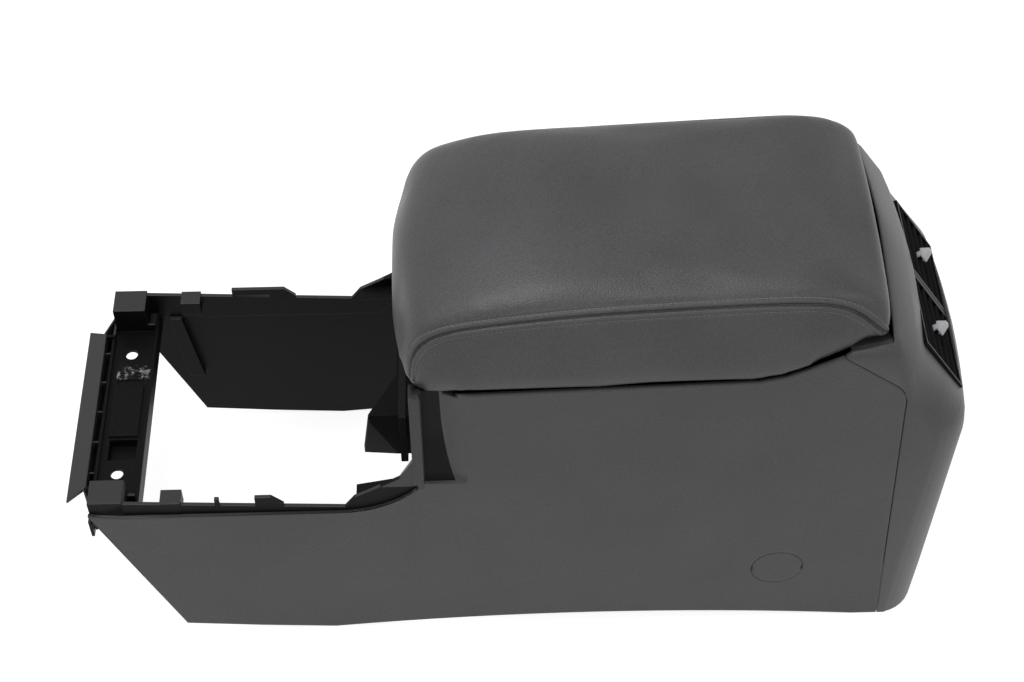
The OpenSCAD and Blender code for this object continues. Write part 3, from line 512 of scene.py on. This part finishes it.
def grooveEdge(u):
    return groove["edge"] - groove["edgeSwing"] * (1 - u) ** 2


def grooveRing(z, side, grow, reach):
    u = grooveHeight(z)
    wall = wallAt(z)
    share = groove["footShare"]
    depth = groove["depth"] * (share + (1 - share) * min(1.0, u * groove["deepensBy"])) + grow
    front = groove["front"] - grow
    edge = grooveEdge(u) + grow * 1.5
    points = [(front, wall + reach), (edge, wall + reach)]
    for k in range(groove["steps"] + 1):
        t = k / groove["steps"]
        x = edge + (grooveCrease(u) - grooveEdge(u)) * t
        points.append((x, wall - depth * t * t * (3 - 2 * t) * (0.65 + 0.35 * t)))
    points.append((front, wall - depth))
    return [(x, side * y, z) for x, y in (points if side > 0 else points[::-1])]


# The wall gets a skin behind the groove first, so that the cut doesn't break through
def cutGroove(obj, side):
    foot, rise, count = groove["foot"], groove["top"] - groove["foot"], groove["levels"]
    skinLevels = [foot - groove["skin"], foot + groove["skinMiddle"], groove["skinTop"]]
    rings = [grooveRing(z, side, groove["skin"], -groove["skinSunk"]) for z in skinLevels]
    booleanWith(obj, meshFromRings("grooveSkin", rings), "UNION")
    cutLevels = [foot + rise * k / count for k in range(count + 1)]
    rings = [grooveRing(z, side, 0, groove["cutPast"]) for z in cutLevels]
    booleanWith(obj, meshFromRings("grooveCut", rings), "DIFFERENCE")


# Where the shell's finish changes: outer side, dark inside, and the darker neck, ledges and lip. The neck
# groove's floor takes the near-black inside finish, which paints in its shade and a dark reflection over its
# smoother face
zones = {
    "finishes": ("bodyPlastic", "innerPlasticAndGrooveShade", "neckPlastic"),
    "lipRear": -0.2885, "neckFront": -0.075, "neckLow": 0.13, "neckBand": 0.009,
    "ledgeRear": -0.06, "ledgeLow": 0.12, "ledgeHigh": 0.165, "ledgeUp": 0.6, "ledgeBand": 0.02,
    "grooveRear": -0.0380, "grooveHigh": 0.262,
    "flangeEdge": 0.0003, "flangeSlack": 0.0006, "flangeFoot": 0.006,
    "footSlack": 0.0005, "creaseSlack": 0.0003, "wallSlack": 0.0012,
}


# Cuts across the whole shell along two planes, where the finish changes
def splitFaces(obj):
    bm = bmesh.new()
    bm.from_mesh(obj.data)
    behindFlange = ((groove["front"] + zones["flangeEdge"], 0, 0), (1, 0, 0))
    underFlange = ((0, 0, groove["foot"] - zones["flangeFoot"]), (0, 0, 1))
    for point, normal in (behindFlange, underFlange):
        everything = list(bm.verts) + list(bm.edges) + list(bm.faces)
        bmesh.ops.bisect_plane(bm, geom=everything, plane_co=point, plane_no=normal)
    bm.to_mesh(obj.data)
    bm.free()


def finishIndex(poly, vertices):
    outer, insideAndGrooveShade, neck = 0, 1, 2
    c = poly.center
    inward = wallAt(c.z) - console["skin"] - abs(c.y)
    nearWall = inward < zones["neckBand"]
    onNeck = c.x > zones["neckFront"] and c.z > zones["neckLow"]
    atLedge = c.x < zones["ledgeRear"] and zones["ledgeLow"] < c.z < zones["ledgeHigh"]
    onLedge = atLedge and poly.normal.z > zones["ledgeUp"] and inward < zones["ledgeBand"]
    index = outer if inward < 0 or (onNeck and nearWall) else insideAndGrooveShade
    if c.x < zones["lipRear"] or onLedge:
        index = neck
    if not (onNeck and nearWall and c.x < zones["grooveRear"] and c.z < zones["grooveHigh"]):
        return index
    rearmost = max(vertices[v].co.x for v in poly.vertices)
    if rearmost < groove["front"] + zones["flangeSlack"]:
        return neck if c.z > groove["foot"] - zones["flangeFoot"] else index
    crease = grooveCrease(min(1, max(0, grooveHeight(c.z)))) + zones["creaseSlack"]
    aboveFoot = c.z > groove["foot"] - zones["footSlack"]
    # The groove's floor gets the near-black inside finish: its darkness is painted shade and painted dark
    # reflection, while its smoother face is real
    return insideAndGrooveShade if aboveFoot and c.x < crease and inward > -zones["wallSlack"] else index


cutGroove(consoleShell, -1)
cutGroove(consoleShell, 1)
splitFaces(consoleShell)
smoothShading(consoleShell.data)
consoleShell.data.set_sharp_from_angle(angle=math.radians(console["sharpAngle"]))
flatter = consoleShell.modifiers.new("flatWalls", "WEIGHTED_NORMAL")
flatter.keep_sharp = True
flatter.weight = 100
applyModifier(consoleShell, flatter)
consoleShell.data.materials.clear()
for label in zones["finishes"]:
    consoleShell.data.materials.append(materials[label])
for poly in consoleShell.data.polygons:
    poly.material_index = finishIndex(poly, consoleShell.data.vertices)


# A smear of old glue on the tray
glue = {
    "middle": (-0.2692, 0.0365), "size": (0.0245, 0.013), "cells": (40, 22), "thick": 0.00035, "thinCells": 3,
    "lift": 0.00006, "seekFrom": 0.20, "lowest": 0.09, "stray": 0.1, "keepWithin": 0.0015,
    "streaks": 230.0, "bare": 0.50, "covered": 0.60, "rough": 0.6,
    "dark": (0.05, 0.05, 0.055, 1), "pale": (0.28, 0.28, 0.29, 1),
}


def glueMesh():
    tree = BVHTree.FromObject(consoleShell, bpy.context.evaluated_depsgraph_get())
    nx, ny = glue["cells"]
    points, faces = [], []
    for j in range(ny + 1):
        for i in range(nx + 1):
            x = glue["middle"][0] + glue["size"][0] * (i / nx - 0.5)
            y = glue["middle"][1] + glue["size"][1] * (j / ny - 0.5)
            edge = min(i, nx - i, j, ny - j)
            lump = 0.5 + 0.5 * math.sin(i * 1.7 + 2.1 * math.sin(j * 0.9)) * math.sin(j * 1.3 + i * 0.23)
            hit = tree.ray_cast(Vector((x, y, glue["seekFrom"])), Vector((0, 0, -1)))[0]
            z = hit.z if hit and hit.z > glue["lowest"] else glue["stray"]
            thick = glue["thick"] * lump * min(1, edge / glue["thinCells"])
            points.append((x, y, z + glue["lift"] + thick))
    for j in range(ny):
        for i in range(nx):
            a = j * (nx + 1) + i
            faces.append((a, a + 1, a + nx + 2, a + nx + 1))
    heights = [points[k][2] for f in faces for k in f]
    level = sorted(heights)[len(heights) // 2]
    near = [f for f in faces if all(abs(points[k][2] - level) < glue["keepWithin"] for k in f)]
    mesh = bpy.data.meshes.new("traySmear")
    mesh.from_pydata(points, [], near)
    return mesh


def glueMaterial():
    mat, tree, shader = nodeMaterial("oldGlue")
    coord = addNode(tree, "ShaderNodeTexCoord")
    streaks = addNode(tree, "ShaderNodeTexNoise", Scale=glue["streaks"], Detail=6.0, Roughness=0.7)
    tree.links.new(coord.outputs["Object"], streaks.inputs["Vector"])
    cover = addNode(tree, "ShaderNodeMapRange")
    cover.inputs["From Min"].default_value = glue["bare"]
    cover.inputs["From Max"].default_value = glue["covered"]
    tree.links.new(streaks.outputs["Fac"], cover.inputs["Value"])
    tree.links.new(cover.outputs["Result"], shader.inputs["Alpha"])
    shade = addNode(tree, "ShaderNodeMixRGB", Color1=glue["dark"], Color2=glue["pale"])
    tree.links.new(streaks.outputs["Fac"], shade.inputs["Fac"])
    tree.links.new(shade.outputs["Color"], shader.inputs["Base Color"])
    shader.inputs["Roughness"].default_value = glue["rough"]
    return mat


smear = newObject("traySmear", glueMesh())
smoothShading(smear.data)
giveMaterial(smear, glueMaterial())
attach(smear, "console")

# Rear cap: the line of its upper edge, and how far out and up each row of the turned-in strip lies
cap = {
    "edge": 0.0006, "roundAngle": 40,
    "rim": [(0.2095, 0.2928), (0.2180, 0.2945), (0.2270, 0.2962), (0.2353, 0.2978)],
    "rows": [(0.0895, 0.0), (0.0868, 0.0004), (0.0835, -0.0006), (0.0790, -0.0026), (0.0730, -0.0060)],
}
rearShell = softenedCopy("rear_cap", "rearShell", "console", cap["edge"], roundAngle=cap["roundAngle"])


# The cap's upper edge turns in and down under the lid's rear corners
def turnEdgeIn(obj):
    bm = bmesh.new()
    bm.from_mesh(obj.data)
    for side in (-1, 1):
        rows = []
        for out, rise in cap["rows"]:
            rows.append([bm.verts.new((x, side * out, z + rise)) for x, z in cap["rim"]])
        for a, b in zip(rows, rows[1:]):
            for i in range(len(a) - 1):
                corners = (a[i], a[i + 1], b[i + 1], b[i])
                bm.faces.new(corners if side < 0 else corners[::-1]).smooth = True
    bm.to_mesh(obj.data)
    bm.free()


turnEdgeIn(rearShell)
rearShell.data.materials.append(materials["bodyPlastic"])
print("shells ready")


# Armrest cover: leather over foam, with a seam and twin stitch rows
lid = {
    "nose": -0.076, "rear": 0.234, "crown": 0.338, "seamHalf": 0.080, "noseRound": 0.028, "flare": 0.013,
    "beltStart": -0.069, "beltHeight": 0.260, "beltSlope": 0.036,
    "beltRise": 0.026, "riseRun": 0.074, "riseEnd": 0.228,
    "gap": 0.0025, "noseLift": 0.010, "liftRun": 0.013, "sideLeast": 0.010, "topLeast": 0.004,
    "seamFoot": 0.272, "seamClimb": 0.057, "seamStart": 0.006, "seamRun": 0.128,
    "seamSlope": 0.05, "slopeAfter": 0.120, "slopeEnd": 0.178, "seamRound": 0.044, "topRound": 0.008,
    "topFoot": 0.285, "topRun": 0.135, "topFall": 0.008, "fallStart": 0.148, "fallRun": 0.08, "curve": 2.6,
    "seam": [
        (-0.064, 0.269), (-0.0625, 0.284), (-0.055, 0.299), (-0.040, 0.3085), (-0.015, 0.3150),
        (0.023, 0.3200), (0.060, 0.3228), (0.095, 0.3250), (0.135, 0.3272), (0.175, 0.3286),
        (0.198, 0.3262), (0.214, 0.3185), (0.2295, 0.3035),
    ],
    "seamStep": 0.0011, "grooveDepth": 0.0016, "grooveWidth": 0.0009,
    "swell": 0.0007, "foldAway": 0.0026, "foldWidth": 0.0016, "fineWithin": (0.0085, 0.0060),
    "stitchAway": 0.0046, "stitchDent": 0.0004,
}


def superCurve(t, p):
    t = min(1.0, max(0.0, t))
    return max(0.0, 1 - (1 - t) ** p) ** (1 / p)


def beltLine(x):
    start = lid["riseEnd"] - lid["riseRun"]
    t = min(1.0, max(0.0, (x - start) / (lid["riseEnd"] - start)))
    slope = lid["beltSlope"] * (x - lid["beltStart"])
    return lid["beltHeight"] + slope + lid["beltRise"] * t * t * (3 - 2 * t)


def rearRound(x, r):
    d = x - (lid["rear"] - r)
    return 0.0 if d <= 0 else r - math.sqrt(max(0.0, r * r - d * d))


def lidLow(x):
    lift = lid["noseLift"] * (1 - superCurve((x - lid["nose"]) / lid["liftRun"], 2))
    return beltLine(x) + lid["gap"] + lift


def lidSeam(x):
    climb = lid["seamClimb"] * superCurve((x - lid["nose"] - lid["seamStart"]) / lid["seamRun"], lid["curve"])
    slope = lid["seamSlope"] * max(0.0, min(x, lid["slopeEnd"]) - lid["beltStart"] - lid["slopeAfter"])
    high = lid["seamFoot"] + climb + slope - rearRound(x, lid["seamRound"]) * 0.6
    return max(high, lidLow(x) + lid["sideLeast"])


def lidTop(x):
    climb = (lid["crown"] - lid["topFoot"]) * superCurve((x - lid["nose"]) / lid["topRun"], lid["curve"])
    fall = lid["topFall"] * max(0.0, (x - lid["fallStart"]) / lid["fallRun"]) ** 2
    high = lid["topFoot"] + climb - fall - rearRound(x, lid["topRound"])
    return max(high, lidSeam(x) + lid["topLeast"])


def lidHalfWidth(x):
    return (lid["seamHalf"] + 0.001) * superCurve((x - lid["nose"] + 0.0004) / lid["noseRound"], 3.0)


section = {
    "flareHeight": 0.055, "flareWidth": 0.060,
    "footIn": 0.006, "footTurn": 0.001, "turnRise": 0.0012, "footRise": 0.005,
    "bulge": 0.0015, "sideFoot": 0.003, "sideShort": 0.007, "shoulderIn": 0.006, "shoulderDown": 0.005,
    "shoulderWide": 0.0065, "shoulderHigh": 0.007, "topFoot": 0.002, "crownPower": 2.2,
}


# Half a section: flat below, a side that leans out to its foot, a shoulder at the seam, a crowned top
def lidSection(x, shrink):
    half = lidHalfWidth(x) - shrink
    low = lidLow(x) + shrink
    fold = lidSeam(x) - shrink
    top = lidTop(x) - shrink
    flare = lid["flare"] * min(1.0, (fold - low) / section["flareHeight"])
    flare *= min(1.0, half / section["flareWidth"])
    foot = half + flare
    pts = [(0.0, low), (half * 0.5, low), (foot - section["footIn"], low)]
    pts += [(foot - section["footTurn"], low + section["turnRise"]), (foot, low + section["footRise"])]
    for k in (0.2, 0.4, 0.6, 0.8):
        y = half + flare * (1 - k) + section["bulge"] * math.sin(math.pi * k)
        pts.append((y, low + section["sideFoot"] + (fold - low - section["sideShort"]) * k))
    for a in (10, 30, 50, 70):
        r = math.radians(a)
        y = half - section["shoulderIn"] + section["shoulderWide"] * math.cos(r)
        pts.append((y, fold - section["shoulderDown"] + section["shoulderHigh"] * math.sin(r)))
    rise = top - fold - section["topFoot"]
    for k in (0.85, 0.7, 0.5, 0.3, 0.15):
        pts.append((half * k, fold + section["topFoot"] + rise * (1 - k ** section["crownPower"])))
    pts.append((0.0, top))
    return pts


def lidRing(x, shrink):
    half = lidSection(x, shrink)
    ring = [(x, y, z) for y, z in half]
    return ring + [(x, -y, z) for y, z in reversed(half[1:-1])]


def coordsOf(obj):
    out = np.empty(len(obj.data.vertices) * 3, np.float32)
    obj.data.vertices.foreach_get("co", out)
    return out.reshape(-1, 3).astype(float)


def setCoords(obj, co):
    obj.data.vertices.foreach_set("co", co.astype(np.float32).ravel())
    obj.data.update()


# The foam: how it is meshed, blown up and smoothed
foam = {
    "noseRun": 0.034, "rearRun": 0.044, "flatEnd": 0.050, "flatSteps": 12, "noseStart": 0.0003,
    "inset": 0.0006, "voxel": 0.0042, "pressure": 3.0, "mostSwell": 0.0009, "frames": 18,
    "gluedHeight": 0.004, "gluedRear": 0.006, "edgeHold": 0.25, "holdHeight": 0.004, "holdRun": 0.010,
    "smoothing": 0.5, "passes": 10,
    "leather": {
        "quality": 5, "mass": 0.3, "tension_stiffness": 40, "compression_stiffness": 40,
        "shear_stiffness": 20, "bending_stiffness": 8,
    },
}


def lidStations():
    nose, rear, run, end = lid["nose"], lid["rear"], foam["noseRun"], foam["rearRun"]
    stations = [nose + run * (1 - math.cos(math.radians(a))) + foam["noseStart"] for a in range(4, 88, 6)]
    flat = rear - foam["flatEnd"] - nose - run
    steps = foam["flatSteps"]
    stations += [nose + run + flat * i / steps for i in range(1, steps + 1)]
    return stations + [rear - end + end * math.sin(math.radians(a)) for a in range(8, 90, 9)]


cover = meshFromRings("armrestCover", [lidRing(x, foam["inset"]) for x in lidStations()])
remesh = cover.modifiers.new("even", "REMESH")
remesh.mode = "VOXEL"
remesh.voxel_size = foam["voxel"]
applyModifier(cover, remesh)


# Foam pushes the leather outward; the underside is glued to its carrier
def puffUp(obj, pressure, cap, frames):
    rest = coordsOf(obj)
    group = obj.vertex_groups.new(name="glued")
    for i, p in enumerate(rest):
        if p[2] < lidLow(p[0]) + foam["gluedHeight"] or p[0] > lid["rear"] - foam["gluedRear"]:
            group.add([i], 1.0, "REPLACE")
    cloth = obj.modifiers.new("cloth", "CLOTH")
    for key, value in foam["leather"].items():
        setattr(cloth.settings, key, value)
    cloth.settings.use_pressure = True
    cloth.settings.uniform_pressure_force = pressure
    cloth.settings.vertex_group_mass = "glued"
    cloth.settings.effector_weights.gravity = 0
    cloth.collision_settings.use_collision = False
    cloth.collision_settings.use_self_collision = False
    cloth.point_cache.frame_start = 1
    cloth.point_cache.frame_end = frames
    for f in range(1, frames + 1):
        scene.frame_set(f)
    shaped = obj.evaluated_get(bpy.context.evaluated_depsgraph_get())
    moved = coordsOf(shaped)
    obj.modifiers.remove(cloth)
    scene.frame_set(1)
    step = moved - rest
    size = np.linalg.norm(step, axis=1, keepdims=True)
    step *= np.minimum(1.0, cap / np.maximum(size, 1e-9))
    setCoords(obj, rest + step)
    print("leather swelled by up to", round(float(size.max()) * 1000, 2), "mm before the cap")


puffUp(cover, foam["pressure"], foam["mostSwell"], foam["frames"])
# The steps of the remesh are smoothed out, least along the lower edge
relax = cover.vertex_groups.new(name="relax")
for v in cover.data.vertices:
    away = (v.co.z - lidLow(v.co.x) - foam["holdHeight"]) / foam["holdRun"]
    weight = foam["edgeHold"] + (1 - foam["edgeHold"]) * min(1.0, max(0.0, away))
    relax.add([v.index], weight, "REPLACE")
smooth = cover.modifiers.new("smooth", "SMOOTH")
smooth.factor = foam["smoothing"]
smooth.iterations = foam["passes"]
smooth.vertex_group = "relax"
applyModifier(cover, smooth)
sub = cover.modifiers.new("fine", "SUBSURF")
sub.levels = sub.render_levels = 1
applyModifier(cover, sub)

# The smoothing rounds the lower edge too far, so its band goes back down to its line, and a little past it
lowerEdge = {
    "band": 0.016, "most": 0.004, "binLong": 0.004, "lastBin": 200, "binsMeaned": 5,
    "past": 0.0022, "rearFadeFrom": 0.218, "rearFade": 0.012,
    "noseMore": 0.7, "noseFadeFrom": -0.03, "noseFade": 0.01,
}


def lowerEdgeDown(obj):
    co = coordsOf(obj)
    x, z = co[:, 0], co[:, 2]
    low = np.array([lidLow(v) for v in x])
    bins = np.clip(((x - lid["nose"]) / lowerEdge["binLong"]).astype(int), 0, lowerEdge["lastBin"])
    lowest = np.ones(lowerEdge["lastBin"] + 1)
    np.minimum.at(lowest, bins, z - low)
    lowest[lowest == 1] = 0
    wide = lowerEdge["binsMeaned"]
    lift = np.convolve(np.pad(lowest, wide // 2, mode="edge"), np.ones(wide) / wide, mode="valid")
    away = np.clip((z - low) / lowerEdge["band"], 0, 1)
    rearShare = np.clip((lowerEdge["rearFadeFrom"] - x) / lowerEdge["rearFade"], 0, 1)
    noseShare = np.clip((lowerEdge["noseFadeFrom"] - x) / lowerEdge["noseFade"], 0, 1)
    past = lowerEdge["past"] * (rearShare + lowerEdge["noseMore"] * noseShare)
    co[:, 2] -= (np.clip(lift[bins], 0, lowerEdge["most"]) + past) * (1 - away * away * (3 - 2 * away))
    setCoords(obj, co)


lowerEdgeDown(cover)


def curvePoint(p0, p1, p2, p3, t):
    first = p2 - p0
    second = 2 * p0 - 5 * p1 + 4 * p2 - p3
    third = 3 * p1 - p0 - 3 * p2 + p3
    return 0.5 * (2 * p1 + first * t + second * t * t + third * t ** 3)


# A smooth curve through the points, then even spacing along it
def smoothLine(points, step, between=24):
    pts = [Vector(p) for p in points]
    ends = [pts[0] * 2 - pts[1]] + pts + [pts[-1] * 2 - pts[-2]]
    dense = []
    for i in range(1, len(ends) - 2):
        dense += [curvePoint(*ends[i - 1 : i + 3], k / between) for k in range(between)]
    dense.append(pts[-1])
    even, left = [dense[0]], step
    for a, b in zip(dense, dense[1:]):
        d = (b - a).length
        while d >= left > 0:
            a = a + (b - a) * (left / d)
            d = (b - a).length
            even.append(a.copy())
            left = step
        left -= d
    return even


def surfaceTree(obj):
    bm = bmesh.new()
    bm.from_mesh(obj.data)
    tree = BVHTree.FromBMesh(bm)
    bm.free()
    return tree


def seamOnSide(tree, side):
    line = []
    for x, z in lid["seam"]:
        hit = tree.ray_cast(Vector((x, side * 0.2, z)), Vector((0, -side, 0)))[0]
        line.append(hit or tree.find_nearest(Vector((x, side * lid["seamHalf"], z)))[0])
    return [tree.find_nearest(p)[0] for p in smoothLine(line, lid["seamStep"])]


coverTree = surfaceTree(cover)
seams = [seamOnSide(coverTree, side) for side in (-1, 1)]


# The seam's groove, the fold that swells beside it, and the dent under each stitch row
def dentAlong(obj, lines):
    co = coordsOf(obj)
    normals = np.empty(len(obj.data.vertices) * 3, np.float32)
    obj.data.vertices.foreach_get("normal", normals)
    normals = normals.reshape(-1, 3)
    pts = np.array([p[:] for line in lines for p in line])
    nearest = np.full(len(co), 1e9)
    for start in range(0, len(pts), 64):
        chunk = pts[start : start + 64]
        nearest = np.minimum(nearest, ((co[:, None, :] - chunk[None]) ** 2).sum(-1).min(1))
    d = np.sqrt(nearest)
    shape = -lid["grooveDepth"] * np.exp(-((d / lid["grooveWidth"]) ** 2))
    shape += lid["swell"] * np.exp(-(((d - lid["foldAway"]) / lid["foldWidth"]) ** 2))
    shape -= lid["stitchDent"] * np.exp(-(((d - lid["stitchAway"]) / lid["grooveWidth"]) ** 2))
    shape[d > lid["stitchAway"] * 2] = 0
    setCoords(obj, co + normals * shape[:, None])


# Finer faces beside the seam only
def refineNear(obj, lines, reach):
    pts = np.array([p[:] for line in lines for p in line])
    bm = bmesh.new()
    bm.from_mesh(obj.data)
    near = []
    for e in bm.edges:
        m = (e.verts[0].co + e.verts[1].co) / 2
        if ((pts - np.array(m[:])) ** 2).sum(1).min() < reach * reach:
            near.append(e)
    bmesh.ops.subdivide_edges(bm, edges=near, cuts=1, use_grid_fill=True)
    bm.to_mesh(obj.data)
    bm.free()


for reach in lid["fineWithin"]:
    refineNear(cover, seams, reach)
dentAlong(cover, seams)
smoothShading(cover.data)
giveMaterial(cover, materials["padLeather"])
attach(cover, "armrest")
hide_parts("armrest_pad")
print("armrest cover:", len(cover.data.polygons), "faces")


# Stitches: short capsules laid along both sides of each seam
thread = {
    "radius": 0.00030, "long": 0.0021, "step": 0.0029, "start": 0.004, "end": 0.003,
    "seekFrom": 0.004, "proud": 0.2, "sides": 6,
    "rings": [(-0.15, 0.15), (0.0, 0.75), (0.25, 1.0), (0.75, 1.0), (1.0, 0.75), (1.15, 0.15)],
}


def capsule(bm, a, b, r):
    axis = (b - a).normalized()
    other = axis.orthogonal().normalized()
    third = axis.cross(other)
    sides = thread["sides"]
    turns = [k * math.tau / sides for k in range(sides)]
    rings = []
    for t, scale in thread["rings"]:
        mid = a + (b - a) * t
        out = [other * math.cos(turn) + third * math.sin(turn) for turn in turns]
        rings.append([bm.verts.new(mid + v * r * scale) for v in out])
    for low, high in zip(rings, rings[1:]):
        for k in range(sides):
            n = (k + 1) % sides
            bm.faces.new((low[k], low[n], high[n], high[k]))
    bm.faces.new(list(reversed(rings[0])))
    bm.faces.new(rings[-1])


def stitchRows(name, line):
    tree = surfaceTree(cover)
    outward = [coverTree.find_nearest(p)[1] for p in line]
    outward = [sum(outward[max(0, i - 4) : i + 5], Vector()).normalized() for i in range(len(outward))]
    bm = bmesh.new()
    length, walked = [], 0.0
    for a, b in zip(line, line[1:]):
        length.append(walked)
        walked += (b - a).length
    length.append(walked)

    def along(s):
        s = min(max(s, 0.0), walked)
        i = min(max(int(np.searchsorted(length, s)) - 1, 0), len(line) - 2)
        t = (s - length[i]) / max(length[i + 1] - length[i], 1e-9)
        ahead, behind = min(i + 3, len(line) - 1), max(i - 2, 0)
        return line[i].lerp(line[i + 1], t), (line[ahead] - line[behind]).normalized(), outward[i]

    for way in (-1, 1):
        s = thread["start"]
        while s + thread["long"] < walked - thread["end"]:
            ends = []
            for d in (0.0, thread["long"]):
                p, tangent, normal = along(s + d)
                across = normal.cross(tangent).normalized() * way
                foot, facing, _, _ = coverTree.find_nearest(p + across * lid["stitchAway"])
                hit = tree.ray_cast(foot + facing * thread["seekFrom"], -facing)[0]
                ends.append((hit or foot) + facing * thread["radius"] * thread["proud"])
            capsule(bm, ends[0], ends[1], thread["radius"])
            s += thread["step"]
    mesh = bpy.data.meshes.new(name)
    bm.to_mesh(mesh)
    bm.free()
    smoothShading(mesh)
    obj = newObject(name, mesh)
    giveMaterial(obj, materials["seamThread"])
    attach(obj, "armrest")


stitchRows("leftStitches", seams[0])
stitchRows("rightStitches", seams[1])
print("stitches ready")
